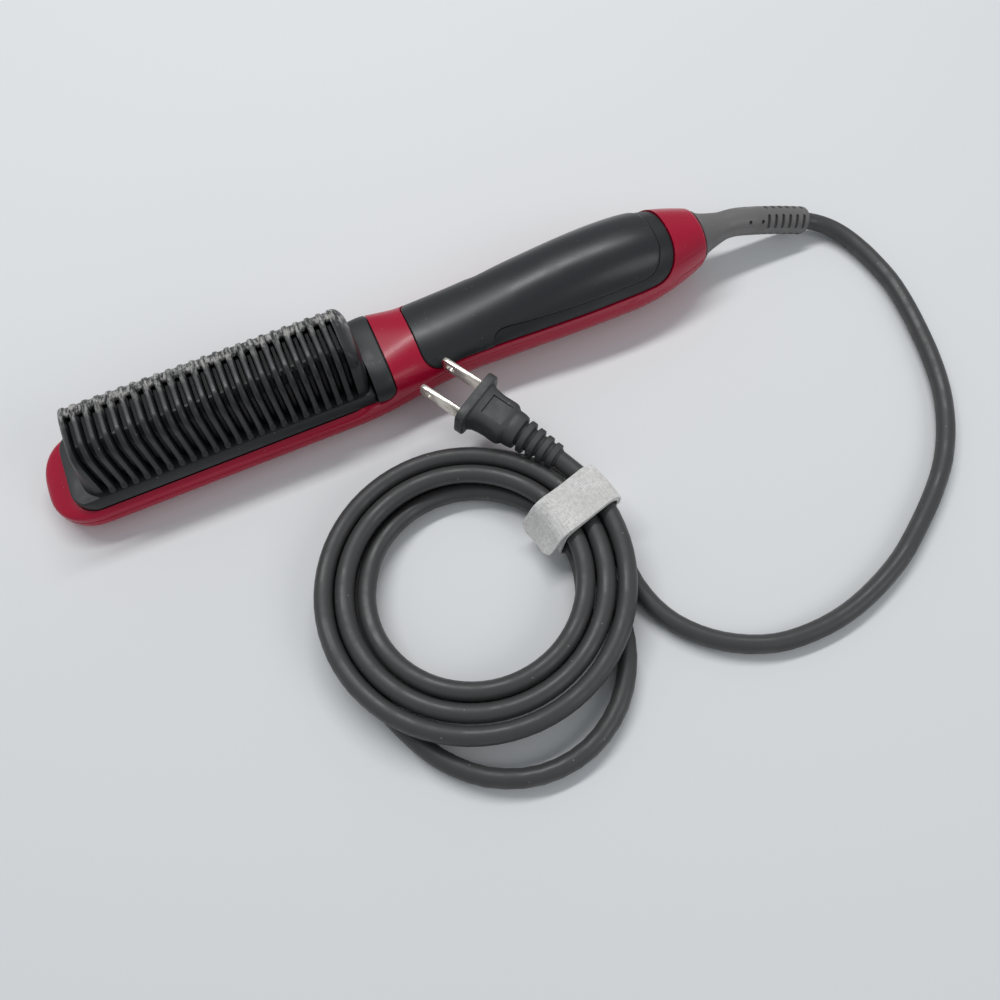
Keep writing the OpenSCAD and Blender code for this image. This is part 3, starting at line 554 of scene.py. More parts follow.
# %% The look of every slot
looks = {
    # The comb's pale crests are scuffing and also a painted highlight on the far side.
    "comb_black": dict(colour=(0.024, 0.026, 0.028), rough=0.38, grain=0.012, dust=0.2, scuffed_and_lit=0.9,
                       specular=0.42),
    "heater_coated": dict(colour=(0.005, 0.006, 0.007), rough=0.34, grain=0.004, specular=0.16),
    "ceramic": dict(colour=(0.8, 0.78, 0.72), rough=0.6, grain=0.02),
    "spring_steel": dict(colour=(0.55, 0.55, 0.54), rough=0.3, metallic=1.0, streaks=0.2, grain=0.004),
    "sheet_metal": dict(colour=(0.7, 0.7, 0.7), rough=0.35, metallic=1.0, streaks=0.15, grain=0.004),
    "screw_steel": dict(colour=(0.5, 0.5, 0.5), rough=0.32, metallic=1.0, patch=0.25, patch_scale=500.0,
                        grain=0.006),
    "red_gloss": dict(colour=(0.43, 0.004, 0.035), rough=0.24, spread=0.03, patch=0.07, grain=0.001,
                      grain_scale=1600.0, dust=0.1, coat=0.08, specular=0.3),
    "grip_rubber": dict(colour=(0.02, 0.023, 0.026), rough=0.3, spread=0.03, patch=0.12, grain=0.006,
                        dust=0.1, specular=0.42),
    "grip_border": dict(colour=(0.013, 0.016, 0.018), rough=0.4, grain=0.01, dust=0.12, specular=0.4),
    "panel_black": dict(colour=(0.012, 0.012, 0.014), rough=0.12, spread=0.04, grain=0.001, dust=0.2,
                        coat=0.6),
    "window_dark": dict(colour=(0.01, 0.012, 0.016), rough=0.06, spread=0.02, grain=0.0005, dust=0.1,
                        coat=0.8),
    "button_grey": dict(colour=(0.1, 0.1, 0.1), rough=0.5, grain=0.014, dust=0.2, sheen=0.05),
    "inner_white": dict(colour=(0.75, 0.75, 0.72), rough=0.5, patch=0.06),
    "inner_black": dict(colour=(0.03, 0.03, 0.03), rough=0.5),
    "board_green": dict(colour=(0.03, 0.15, 0.05), rough=0.4, patch=0.3, patch_scale=300.0, grain=0.01),
    "lead_red": dict(colour=(0.5, 0.03, 0.03), rough=0.45),
    "contact_brass": dict(colour=(0.6, 0.45, 0.2), rough=0.3, metallic=1.0, patch=0.3, patch_scale=400.0,
                          grain=0.004),
    "boot_grey": dict(colour=(0.165, 0.16, 0.158), rough=0.5, patch=0.1, grain=0.014, dust=0.15),
    "cord_grey": dict(colour=(0.056, 0.056, 0.057), rough=0.44, patch=0.14, patch_scale=90.0, grain=0.008,
                      dust=0.3),
    "plug_grey": dict(colour=(0.052, 0.055, 0.055), rough=0.5, patch=0.15, patch_scale=140.0, grain=0.016,
                      grain_scale=3200.0, dust=0.4),
    "blade_nickel": dict(colour=(0.74, 0.7, 0.63), rough=0.27, metallic=1.0, patch=0.2, patch_scale=220.0,
                         grain=0.003),
}
finishes = {slot: finish(slot, **look) for slot, look in looks.items()}
print(len(finishes), "finishes")


# %% Pieces and what they ride on
def put(name, bm, slot, body="brush", stands_for=(), sharp=35):
    """Makes a piece of a bmesh, smooth but for edges sharper than the angle, and lets it ride on a body."""
    piece = loose_object(name, bm)
    for face in piece.data.polygons:
        face.use_smooth = True
    piece.data.set_sharp_from_angle(angle=math.radians(sharp))
    piece.data.materials.append(finishes[slot])
    if body:
        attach(piece, body)
    if stands_for:
        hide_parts(*stands_for)
    print(f"{name}: {len(piece.data.polygons)} faces")
    return piece


# %% [markdown]
# ## The cord
#
# The cord is one rubber tube of 6.2 mm. It leaves the boot, drops to the table, makes a
# wide loop to the right and comes back to a coil of five turns in two layers, one of
# them loose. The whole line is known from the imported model, so a tube over rings on
# that line is surer than a simulation. The rings are square to the line and their
# sides are level, so the tube never twists.

# %% The boot's bend
boot_turn, boot_straight, boot_r = math.radians(29), 8, 5.15
bend_r1, bend_a1, bend_r2, bend_a2 = 26, math.radians(15.4), 250, math.radians(6.4)
bend_l1, bend_l2 = bend_r1 * bend_a1, bend_r2 * bend_a2
boot_l = boot_straight + bend_l1 + bend_l2


def boot_at(l):
    """Distance along the body, drop and slope at the length l of the boot."""
    a = ramp(l, boot_straight, boot_straight + bend_l1) * bend_a1
    b = ramp(l, boot_straight + bend_l1, boot_l) * bend_a2
    ahead = min(l, boot_straight) + bend_r1 * math.sin(a)
    ahead += bend_r2 * (math.sin(bend_a1 + b) - math.sin(bend_a1))
    drop = bend_r1 * (1 - math.cos(a)) + bend_r2 * (math.cos(bend_a1) - math.cos(bend_a1 + b))
    return ahead, drop, a + b


boot_root = Vector((x_of(body_l) + 0.25, 0, axis_z)) * mm
boot_place = Matrix.Translation(boot_root) @ Matrix.Rotation(-boot_turn, 4, "X")
ahead, drop, slope = boot_at(boot_l)
boot_end = boot_place @ (Vector((ahead, 0, -drop)) * mm)
boot_way = (boot_place.to_3x3() @ Vector((math.cos(slope), 0, -math.sin(slope)))).normalized()
print("boot", round(boot_l, 1), "mm long, ends at", [round(c, 4) for c in boot_end])

# %% The cord's line
cord_r, coil_at, coil_turns, coil_turnback, coil_r = 3.1, Vector((-6.6, -89.4)), 5.1, 2.44, 33.5
turn_gap, layer_gap, loose_out, loose_mid, loose_half = 6.7, 6.8, 18.5, 276, 72


def coil_point(t):
    """The point of the coil after t turns: in, up a layer and out again, with one loose turn."""
    a = math.tau * t + math.radians(-4)
    u = (math.degrees(a) - loose_mid) / loose_half
    r = coil_r + turn_gap * abs(t - coil_turnback) + (loose_out * (1 - u * u) ** 2 if abs(u) < 1 else 0)
    z = 4 + layer_gap * ease(t, coil_turnback - 0.25, coil_turnback + 0.25)
    z += 3.2 * ramp(t, coil_turns - 0.3, coil_turns) ** 2
    return Vector((coil_at.x + r * math.cos(a), coil_at.y + r * math.sin(a), z)) * mm


lie_z = 3.2
loop_down = [(171.4, -6.4, 5.5), (175.1, -9.3, 4.7), (178.1, -13.1, 4.1), (180.4, -17.8, 3.7),
             (182, -23.2, 3.5), (183.2, -29, 3.3)]
loop_round = [(184.3, -40), (183.5, -51), (181.5, -63), (178.5, -76), (174, -89), (167.5, -101), (159, -112),
              (149, -121), (138, -129), (126, -136.5), (113, -142), (100, -145.5), (87, -146.5), (74.5, -145),
              (63, -140), (53.5, -132.5), (46.5, -122.5)]
loop_points = loop_down + [(x, y, lie_z) for x, y in loop_round] + [(43, -109.5, 3.4)]
coil_steps = 122
coil_turn = (coil_point(coil_turns) - coil_point(coil_turns - 0.002)).xy
plug_heading = math.atan2(coil_turn.y, coil_turn.x) + math.radians(1.6)
plug_place = (Matrix.Translation(coil_point(coil_turns)) @ Matrix.Rotation(plug_heading, 4, "Z")
              @ Matrix.Rotation(math.radians(-7.7), 4, "Y"))
cord_line = [boot_end - boot_way * 1.5 * mm, boot_end + boot_way * 1.2 * mm]
cord_line += [Vector(p) * mm for p in loop_points]
cord_line += [coil_point(coil_turns * i / coil_steps) for i in range(coil_steps + 1)]
cord_line.append(plug_place @ Vector((0.0015, 0, 0)))
cord_length = sum((b - a).length for a, b in zip(cord_line, cord_line[1:]))
print("cord", round(cord_length, 3), "m")


# %% The cord's tube
def through(points, n, first, n_first):
    """A smooth line through the points: n steps from one to the next, and n_first for the first few."""
    ends = [points[0] * 2 - points[1], *points, points[-1] * 2 - points[-2]]
    line = []
    for i, (a, b, c, d) in enumerate(zip(ends, ends[1:], ends[2:], ends[3:])):
        for t in steps(0, 1, n_first if i < first else n)[:-1]:
            line.append(0.5 * (2 * b + (c - a) * t + (2 * a - 5 * b + 4 * c - d) * t * t
                               + (3 * b - a - 3 * c + d) * t ** 3))
    return line + [points[-1]]


def rings_on(line, r, sides):
    """Rings square to a line, with their radius in metres."""
    rings = []
    for i, p in enumerate(line):
        way = (line[min(i + 1, len(line) - 1)] - line[max(i - 1, 0)]).normalized()
        side = Vector((way.y, -way.x, 0)).normalized()
        rise_way = side.cross(way)
        rings.append([p + r * (c * side + k * rise_way) for c, k in spokes(sides)])
    return rings


smooth_line = through(cord_line, 3, 7, 6)
tube = loft(rings_on(smooth_line, cord_r * mm, 20))
cord = put("cord", tube, "cord_grey", None, ("cord_free", "cord_coil"), sharp=60)

# %% [markdown]
# ## The boot
#
# A soft boot keeps the cord from kinking where it leaves the handle. It flares out over
# the end of the tail, bends down twice and has rows of slots that let it flex. It turns
# with the sleeve inside the tail, so it rides on the swivel. The boot is a skin over
# rings along its bent line, and the slots are cut from it, four rows round.

# %% Boot
def boot_frame(l):
    """Moves and turns a shape to the length l of the boot, with X along its line."""
    ahead, drop, slope = boot_at(l)
    return boot_place @ Matrix.Translation(Vector((ahead, 0, -drop)) * mm) @ Matrix.Rotation(slope, 4, "Y")


inside = [(0, 6.35), (-4.1, 6.35), (-4.2, 6.45), (-4.2, 9.3)]
flared = [(-4.12, 9.5), (-3.9, 9.55), (-3.4, 9.05), (-2.8, 8.55), (-2, 8.03), (-1, 7.55), (0, 7.17),
          (1, 6.84), (2, 6.54), (3, 6.26), (4, 5.99), (5, 5.74), (6, 5.51), (7, 5.32), (8, 5.2)]
straight = [(l, boot_r) for l in steps(9.5, boot_l - 1.2, 16)]
lip = [(boot_l - 0.6, 5.06), (boot_l - 0.25, 4.85), (boot_l, 4.4), (boot_l, 3.45), (boot_l - 0.5, 3.2),
       (boot_l - 1.4, 3.15)]
boot_rings = []
for l, r in inside + flared + straight + lip:
    at = boot_frame(l)
    boot_rings.append([at @ (Vector((0, c, k)) * r * mm) for c, k in spokes(40)])
print(len(boot_rings), "rings of the boot")

# %% Slots of the boot
slot_r, slot_half, slot_deep, slot_step, slot_first = 0.7, 1.9, 1.3, 3.1, 2.8
dot_r, dot_deep, dots_back, row_turn = 0.75, 0.9, (21, 26.4), 79
slot_round = arc(0, 0, slot_r, 0.01, math.tau + 0.01, 24)[:-1]
slot_outline = [(x, y + math.copysign(slot_half, y)) for x, y in slot_round]
cuts = [(slot_first + slot_step * i, slot_outline, slot_deep) for i in range(6)]
cuts += [(back, arc(0, 0, dot_r, 0, math.tau, 16)[:-1], dot_deep) for back in dots_back]
slots = []
for back, outline, deep in cuts:
    for row in range(4):
        turn = boot_frame(boot_l - back) @ Matrix.Rotation(math.radians(90 * row + row_turn), 4, "X")
        slots.append(prism(outline, boot_r - deep, boot_r + 2, turn))
boot = put("boot", carve(loft(boot_rings), merged(slots)), "boot_grey", "cord_swivel", ("cord_boot",))

# %% [markdown]
# ## The plug
#
# A flat two-blade plug, moulded onto the cord. Four collars ease the cord in, then a
# round neck grows into a squarish body with a sunken finger panel, and a flange meets
# the socket. Its sections are superellipses too: a low power is round, a high one
# square. The blades are stamped plates with a hole near the tip.

# %% Plug body
def section(x, half_width, half_height, n, sides=56):
    """One section of the plug at x, in mm from the cord's end. n is the superellipse's power."""
    ring = []
    for c, s in spokes(sides):
        far = reach(c, s, n)
        ring.append(plug_place @ (Vector((x, half_width * far * c, half_height * far * s)) * mm))
    return ring


plug_sections = [(-0.2, 3.3, 3.3, 2)]
for i in range(4):
    x, r, groove = 0.5 + 3.7 * i, 4.2 + 0.4 * i, 3.55 + 0.2 * i
    plug_sections += [(x - 0.02, groove, groove, 2.2), (x, r - 0.3, r - 0.35, 2.6),
                      (x + 0.3, r + 0.05, r - 0.02, 2.8), (x + 2.1, r + 0.12, r + 0.02, 2.8),
                      (x + 2.4, r - 0.2, r - 0.28, 2.6), (x + 2.42, groove + 0.05, groove + 0.05, 2.2)]
plug_sections += [(15.1, 4.3, 4.2, 2.3), (15.12, 5.3, 4.9, 2.6), (15.5, 5.8, 5.4, 2.6), (17, 6.1, 5.6, 2.7),
                  (18.6, 6.15, 5.65, 2.8), (19.2, 6.05, 5.55, 3), (19.7, 6.4, 5.6, 3.4),
                  (20.4, 6.95, 5.8, 3.8), (21.5, 7.15, 5.9, 4.2), (23.5, 6.95, 6, 4.6),
                  (26, 6.8, 6.05, 4.8), (28.5, 7, 6.1, 5), (30.3, 7.4, 6.15, 5), (31.4, 8.1, 6.3, 5),
                  (32.2, 8.6, 6.4, 5)]
flange_sections = [(31.85, 9.6, 6.1, 5.5), (31.95, 10.2, 6.65, 5.5), (32.3, 10.55, 6.95, 6),
                   (34.9, 10.6, 7, 6), (35.25, 10.35, 6.8, 6), (35.4, 9.8, 6.3, 5.5)]


def plug_box(x0, x1, y0, y1, z0, z1):
    """A box in the plug's own axes."""
    return prism([(x0, y0), (x1, y0), (x1, y1), (x0, y1)], z0, z1, plug_place)


plug_core = carve(loft([section(*p) for p in plug_sections]), plug_box(21.2, 29.3, -3.9, 3.9, 5.45, 8))
flange = loft([section(*p) for p in flange_sections])
plug = put("plug", merged([plug_core, flange]), "plug_grey", stands_for=("plug_body",))

# %% Blades
blade_gap, blade_half_t, hole_x, hole_r = 12.7, 0.75, 48.4, 1.5
blade_edge = [(29.6, 3.17), (50.2, 3.17), (51.6, 2.5), (52, 1.6)]
plate = [(x, -y) for x, y in blade_edge] + blade_edge[::-1]
blades = []
for side in (-1, 1):
    place = plug_place @ Matrix.Translation(Vector((0, side * blade_gap / 2, 0)) * mm) @ sideways
    blade = rounded(prism(plate, -blade_half_t, blade_half_t, place), 0.22)
    blades.append(carve(blade, prism(arc(hole_x, 0, hole_r, 0, math.tau, 32)[:-1], -2, 2, place)))
put("blades", merged(blades), "blade_nickel", stands_for=("plug_blades",))

# %% [markdown]
# ## The strap
#
# A band of woven hook-and-loop tape holds the coil, with its free end laid over itself
# on the inner side. A rubber-band shape round all the strands is their convex outline.
# The tape is a thin closed skin along that outline, and each point of it carries its
# own measure of width and length, so the weave follows it round.

# %% Strap outline
strap_a, strap_w, strap_t, strand_r = math.radians(13), 15, 0.8, 3.6
strands = []
for k in range(6):
    for a in (3, 23):  # the two edges of the strap, in degrees round the coil
        p = coil_point(min(coil_turns, k + (a + 4) / 360)) / mm
        strands += arc((p.xy - coil_at).length, p.z, strand_r, 0, math.tau, 24)[:-1]


def outline_round(points):
    """The convex outline of the points, anticlockwise."""
    def half(order):
        kept = []
        for p in order:
            while len(kept) > 1 and ((kept[-1][0] - kept[-2][0]) * (p[1] - kept[-2][1])
                                     - (kept[-1][1] - kept[-2][1]) * (p[0] - kept[-2][0])) <= 0:
                kept.pop()
            kept.append(p)
        return kept[:-1]
    return half(sorted(points)) + half(sorted(points, reverse=True))


loop = [Vector(p) for p in outline_round(strands)]
start = min(range(len(loop)), key=lambda i: loop[i].y + 0.001 * loop[i].x)
loop = loop[start:] + loop[:start + 1]
lengths = [0]
for a, b in zip(loop, loop[1:]):
    lengths.append(lengths[-1] + (b - a).length)
loop_l = lengths[-1]


def on_loop(l):
    """The point at the length l of the outline."""
    l = l % loop_l
    i = max(k for k in range(len(lengths) - 1) if lengths[k] <= l)
    return loop[i].lerp(loop[i + 1], (l - lengths[i]) / (lengths[i + 1] - lengths[i]))


print("strap outline", round(loop_l, 1), "mm")


# %% A length of tape
def tape_point(l, across, lift):
    """A point of the tape at the length l, across its width, and lifted off the strands."""
    p = on_loop(l)
    way = on_loop(l + 0.6) - on_loop(l - 0.6)
    out = Vector((way.y, -way.x)).normalized()
    q = p + out * lift
    lowest = 0.02 if lift > strap_t / 2 else 0.42
    r, z = q.x, max(q.y, lowest)
    along = math.sqrt(max(1, r * r - across * across))
    c, s = math.cos(strap_a), math.sin(strap_a)
    return Vector((coil_at.x + along * c - across * s, coil_at.y + along * s + across * c, z)) * mm


def tape(first, last, count, lift, closed, taper=lambda t: 1, puff=lambda t: 0):
    """A length of tape. taper narrows it and puff lifts it along its length."""
    profile = [(b, 0) for b in steps(-1, 1, 10)] + [(1, 0.5), (0.985, 0.72), (0.95, strap_t)]
    profile += [(b, strap_t) for b in steps(0.85, -0.85, 8)] + [(-0.95, strap_t), (-0.985, 0.72), (-1, 0.5)]
    rings, tags = [], []
    for i in range(count + (not closed)):
        t = i / count
        l = mix(first, last, t)
        w = strap_w / 2 * taper(t)
        rings.append([tape_point(l, b * w, lift + d + puff(t)) for b, d in profile])
        tags.append([Vector((b * w, l, d)) for b, d in profile])
    return loft(rings, caps=not closed, closed=closed, tags=tags)


print("tape", strap_w, "mm wide and", strap_t, "mm thick")

# %% [markdown]
# The tape is woven, and its loops stand up as a short fuzz that hides most of the
# threads. So the weave is only a faint grid of sine humps, and two noises over it, a
# fine one and a broad one, make the fuzz. Both work in the tape's own millimetres.

# %% A group that makes the woven fuzz
weave, enter, leave = new_group("tape_weave", {"Pitch": 0.75}, ("Height", "Tone"))
axes = node(weave, "ShaderNodeSeparateXYZ", {0: enter["Position"]}).outputs
drift = noise(weave, enter["Position"], 0.9, 3.0)


def thread_wave(axis):
    """One sine hump for each thread along the axis. The threads wander a little."""
    place = math_node(weave, "DIVIDE", math_node(weave, "ADD", axes[axis], drift), enter["Pitch"])
    return math_node(weave, "SINE", math_node(weave, "MULTIPLY", place, math.pi))


def added(value, share, more):
    """A share of the value and more of another."""
    return math_node(weave, "ADD", math_node(weave, "MULTIPLY", value, share), more)


plait = math_node(weave, "ABSOLUTE", math_node(weave, "MULTIPLY", thread_wave("X"), thread_wave("Y")))
tufts = added(drift, 0.7, noise(weave, enter["Position"], 2.6, 5.0, 0.75))
weave.links.new(added(plait, 0.12, tufts), leave["Height"])
weave.links.new(soft_step(weave, added(plait, 0.2, tufts), 0.68, 1.14), leave["Tone"])
print("group", weave.name, "made")

# %% Tape material
fabric, tree, surface = new_material("strap_fabric")
on_tape = node(tree, "ShaderNodeAttribute", attribute_name="weave").outputs["Vector"]
threads = node(tree, "ShaderNodeGroup", {"Position": on_tape}, node_tree=weave).outputs
soiled = soft_step(tree, noise(tree, own_place(tree), 130.0, 4.0), 0.35, 0.7)
pale = shade(tree, soiled, (0.79, 0.775, 0.755), (0.9, 0.89, 0.875))
tree.links.new(shade(tree, threads["Tone"], (0.6, 0.58, 0.56), pale), surface["Base Color"])
add_bump(tree, surface, threads["Height"], 0.12, strength=0.9)
surface["Roughness"].default_value = 0.85
surface["Sheen Weight"].default_value = 0.25
finishes["strap_fabric"] = fabric
print("tape material with", len(tree.nodes), "nodes")

# %% Strap
round_band = tape(0, loop_l, 120, 0, True)
tail_from, tail_to = 0.4 * loop_l, 0.9 * loop_l
tail = tape(tail_from, tail_to, 60, strap_t + 0.05, False,
            taper=lambda t: 1 - 0.42 * max(0, (t - 0.9) / 0.1) ** 3,
            puff=lambda t: 5 * max(0, (t - 0.45) / 0.55) ** 1.7)
strap = put("strap", merged([round_band, tail]), "strap_fabric", stands_for=("cable_strap",))

# %% [markdown]
# A cord and a tape are soft. Their true measures are the cord's length along its line, and the tape's size
# when it is laid flat. The boot turns on the swivel while the coil stays on the table. Here the cord's
# transform is baked into its mesh, and the strap's flat size is printed.

# %% The cord's place and the strap's flat size
tuple(cord_line[0])
[tuple(p) for p in cord_line]
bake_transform(cord)
print("strap laid flat", strap_w, "x", round(loop_l + tail_to - tail_from), "mm")

# %% [markdown]
# ## The red shells
#
# The body is moulded in two halves that meet along a wavy parting line. A real shell is
# a thin wall, so each half starts as a closed solid laid on the skin, and a smaller
# full solid is cut from it. The edge at the parting line is moved in a little, and
# together the two halves show the fine groove of the real joint. Cuts leave long thin
# faces that would mark the gloss, so the skin takes its normals from the uncut solid.

# %% Rows along the body
tray_e = neck_s - 7


def body_rows():
    """Places along the body, close together at both ends, and how far each is moved in."""
    rows = [(-tip + (nose_l + tip) * (1 - math.cos(math.radians(a))), 0) for a in steps(0, 90, 16)]
    middle = steps(nose_l, tray_e, 14)[1:] + steps(tray_e, 140, 20)[1:] + steps(140, crown_s, 17)[1:]
    rows += [(s, 0) for s in middle]
    tail_l = shell_e - 1.2 - crown_s
    rows += [(crown_s + tail_l * math.sin(math.radians(a)), 0) for a in steps(0, 90, 20)[1:]]
    rim = ((0.85, 0.05), (0.5, 0.18), (0.24, 0.38), (0.07, 0.66), (0, 1))
    return rows + [(shell_e - back, inset) for back, inset in rim]


print("rows along the body:", len(body_rows()))


# %% Half solids, the hollow and the bore
def half_solid(upper):
    """One half of the body as a closed solid: an arch over the parting line, or a trough under it."""
    rings, groove = [], 0.5
    for s, inset in body_rows():
        h = max(0.3, rise(s) if upper else depth(s))
        near, next_one = (math.degrees(math.atan(d / h)) for d in (0.35, 0.95))
        crease = 62
        if not upper:
            low = min(0.985, part_z(s) / h)
            n = power(s, False)
            crease = min(80, math.degrees(math.atan2(low, (1 - low ** n) ** (1 / n))))
        fold = max(crease, next_one + 2)
        quarter = [0, near] + steps(next_one, fold, 12) + steps(fold, 90, 8)[1:]
        turns = quarter + [180 - a for a in reversed(quarter[:-1])]
        if not upper:
            turns = [360 - a for a in turns]
        rings.append([skin(s, a, inset + (groove if a in (0, 180, 360) else 0)) for a in turns])
    return loft(rings)


def cavity():
    """The hollow of the body, a wall's thickness inside the skin and closed at the tail."""
    rings = []
    rounding = [nose_l * t for t in (0.03, 0.08, 0.16, 0.27, 0.42, 0.6, 0.8, 1)]
    for s in rounding + steps(nose_l, tray_e, 8)[1:] + steps(tray_e, body_l, 40)[1:]:
        deep = s + wall * (1 - ease(s, 0, 40)) - 9.5 * ease(s, tail_s - 24, body_l)
        rings.append([skin(deep, a, wall) for a in steps(0, 360, 40)[:-1]])
    return loft(rings)


def tail_bore():
    """The round opening that the boot's neck sits in."""
    bore_r, bore_l = 6.2, 10.5
    outline = arc(0, axis_z, bore_r, 0, math.tau, 40)[:-1]
    return prism(outline, x_of(body_l - bore_l), x_of(body_l + 1), endways)


print("walls", wall, "mm thick")


# %% Smooth normals for cut pieces
def take_normals(piece, clean, near=4e-5, same_way=0.95):
    """Gives the skin of a cut piece the smooth normals of the uncut solid, where the two are
    near each other, in metres, and face the same way."""
    mesh, finder = piece.data, BVHTree.FromBMesh(clean)
    clean.normal_update()
    clean.faces.ensure_lookup_table()
    normals = [Vector(n.vector) for n in mesh.corner_normals]
    taken = 0
    for face in mesh.polygons:
        _, facing, _, gap = finder.find_nearest(face.center)
        if gap > near or facing.dot(face.normal) < same_way:
            continue
        for corner in face.loop_indices:
            point = mesh.vertices[mesh.loops[corner].vertex_index].co
            near_point, _, index, _ = finder.find_nearest(point)
            verts = clean.faces[index].verts
            if min(v.normal.dot(clean.faces[index].normal) for v in verts) < 0.9:
                continue
            weights = poly_3d_calc([v.co for v in verts], near_point)
            normals[corner] = sum((v.normal * w for v, w in zip(verts, weights)), Vector()).normalized()
            taken += 1
    mesh.normals_split_custom_set(normals)
    clean.free()
    print(piece.name, "takes", taken, "smooth normals")


print("normals ready")

# %% [markdown]
# ## The grip
#
# A soft pad wraps the handle, set in a shallow recess of the upper shell. Its outline is
# given by half an angle at each place along the body, with a round corner beside the
# ring and a long round end. A frame of outlines, each a little further in and higher than
# the last, gives the pad a soft edge. The same recipe, moved outwards, cuts the recess.

# %% Grip outlines
step_s, step_l, end_l = grip_s + 25, 6.5, 10


def turn_at(s, angle):
    """The direction in which the skin's own angle, measured before its corners are filled out, lies."""
    n, a = power(s, True), math.radians(angle)
    across = math.copysign(abs(math.cos(a)) ** (2 / n), math.cos(a))
    return math.degrees(math.atan2(math.sin(a) ** (2 / n), across))


def grip_outline(front, side):
    """Rows of the outline, (s, half angle). It is moved in by front beside the ring and by
    side along the border."""
    first, last, r = grip_s + front, grip_e - side, 8 - max(front, 0)
    stations = [first + r * (1 - math.cos(math.radians(a))) for a in steps(0, 90, 8)]
    stations += steps(first + r, step_s, 6)[1:]
    stations += [step_s + step_l * t for t in (0.004, 0.03, 0.08, 0.15, 0.25, 0.38, 0.54, 0.75, 1)]
    stations += steps(step_s + step_l, last - end_l, 20)[1:]
    stations += [last - end_l + end_l * t
                 for t in (0.2, 0.36, 0.5, 0.62, 0.72, 0.81, 0.88, 0.935, 0.97, 0.988, 0.996, 0.9995)]
    rows = []
    for s in stations:
        m = mix(front, side, (1 - (1 - ramp(s, step_s, step_s + step_l)) ** 2.6) ** (1 / 2.6))
        low = max(0.1, 2.6 + m) / rise(s)
        edge = 90 - math.degrees(math.asin(min(0.97, low ** (power(s, True) / 2))))
        c, e = ramp(first + r - s, 0, r), ramp(s, last - end_l, last)
        rows.append((s, (edge - 45 * r / 8 * (1 - math.sqrt(1 - c * c))) * (1 - e ** 2.6) ** (1 / 2.6)))
    return rows


def grip_slab(front, side, outer, inner, edge=0.0, columns=36):
    """A slab on the skin within the outline, with an edge rounded over the width edge."""
    rims = [(0, 1), (0.12, 0.55), (0.4, 0.2), (0.7, 0.05), (1, 0)] if edge else [(0, 0)]
    outlines = [grip_outline(front + edge * a, side + edge * a) for a, _ in rims]
    k_last, rows = len(rims) - 1, len(outlines[0]) - 1

    def place(i, j, back):
        k = min(i, rows + 2 * k_last - i, j, columns + 2 * k_last - j, k_last)
        s, half = outlines[k][min(max(i - k_last, 0), rows)]
        f = 2 * min(max((j - k_last) / columns, 0), 1) - 1
        return skin(s, turn_at(s, 90 - f * half), inner if back else outer + edge * rims[k][1])
    return slabbed_grid(rows + 2 * k_last, columns + 2 * k_last, place)


print("grip outline of", len(grip_outline(0, 0)), "rows")

# %% Pad and border
put("grip_pad_soft", grip_slab(0, 5.2, 0, 1.25, edge=0.55), "grip_rubber", stands_for=("grip_pad",))
border = carve(grip_slab(0, 0, 0.5, 1.25, edge=0.3), grip_slab(-0.3, 5, -1, 2.4))
put("grip_border_band", border, "grip_border", stands_for=("grip_bezel",))

# %% Upper shell
collar_r, step_z = 5, rim_z + 0.02
head_outline = [(x_of(neck_s - 30), 60), (x_of(neck_s - 30), step_z)]
head_outline += arc(x_of(ring_s - collar_r), step_z + collar_r, collar_r, -math.pi / 2, 0, 10)
head_gap = prism(head_outline + [(x_of(ring_s), 60)], -30, 30, sideways)
base_hole = prism(round_box(comb_s - 0.2, ring_s - 0.5, 16.2, 7.9, 0.5), 9, 16)
upper_cuts = [cavity(), head_gap, base_hole, grip_slab(-0.3, -0.3, -1.5, 1.4), tail_bore()]
upper_solid = carve(half_solid(True), *upper_cuts)
upper_piece = put("shell_upper", upper_solid, "red_gloss", stands_for=("upper_shell",))
take_normals(upper_piece, half_solid(True))

# %% Lower shell
panel_s, panel_l, window_s, window_l, window_r = 138, 80, 143, 20, 1
button_s, button_pitch, key_hole_r, screw_hole_r = 175, 15, 4.8, 2.8
button_places = [button_s + button_pitch * i for i in range(3)]
screw_places = [(comb_s + 2.6, 0, 12.6), (comb_e + 1, 9, 12.6), (comb_e + 1, -9, 12.6), (ring_s + 7.5, 0, 18),
                (tail_s + 11, 0, 22)]
lower_cuts = [cavity(), prism(round_box(panel_s - 0.2, panel_s + panel_l + 0.2, 7.2, 7.1, 7.1), -1, 1.5),
              prism(round_box(window_s - 1, window_s + window_l + 1, 5.5, window_r, window_r), 0.5, 6)]
lower_cuts += [prism(circle(s, 0, key_hole_r), 0.4, 6) for s in button_places]
lower_cuts += [prism(circle(s, y, screw_hole_r, 32), -1, 3) for s, y, _ in screw_places]
lower_solid = carve(half_solid(False), *lower_cuts, tail_bore())
lower_piece = put("shell_lower", lower_solid, "red_gloss", stands_for=("lower_shell",))
take_normals(lower_piece, half_solid(False))

# %% [markdown]
# ## The collar and the comb
#
# A black collar fills the step between the comb and the ring. The comb is moulded
# in one piece: a base with a plinth, a leaning front wall, a rear wall with a round
# corner, and 22 arched ribs. An arch swept with a rounded profile makes a rib, and the
# rest of the ribs are the same arch moved by the slot's pitch. At its foot each rib
# spreads into a small pad on the plinth, as on the real comb.

# %% Collar
collar_e, collar_z = ring_s - 0.35, rim_z + 0.35
collar_rows = [(s, 0) for s in steps(-6, 6.4, 10)] + [(6.85, 0.05), (7.05, 0.18), (7.15, 0.4)]
collar_rows += [(s, wall + 0.1) for s in (7.15, 9, 11.15)]
collar_columns = 56


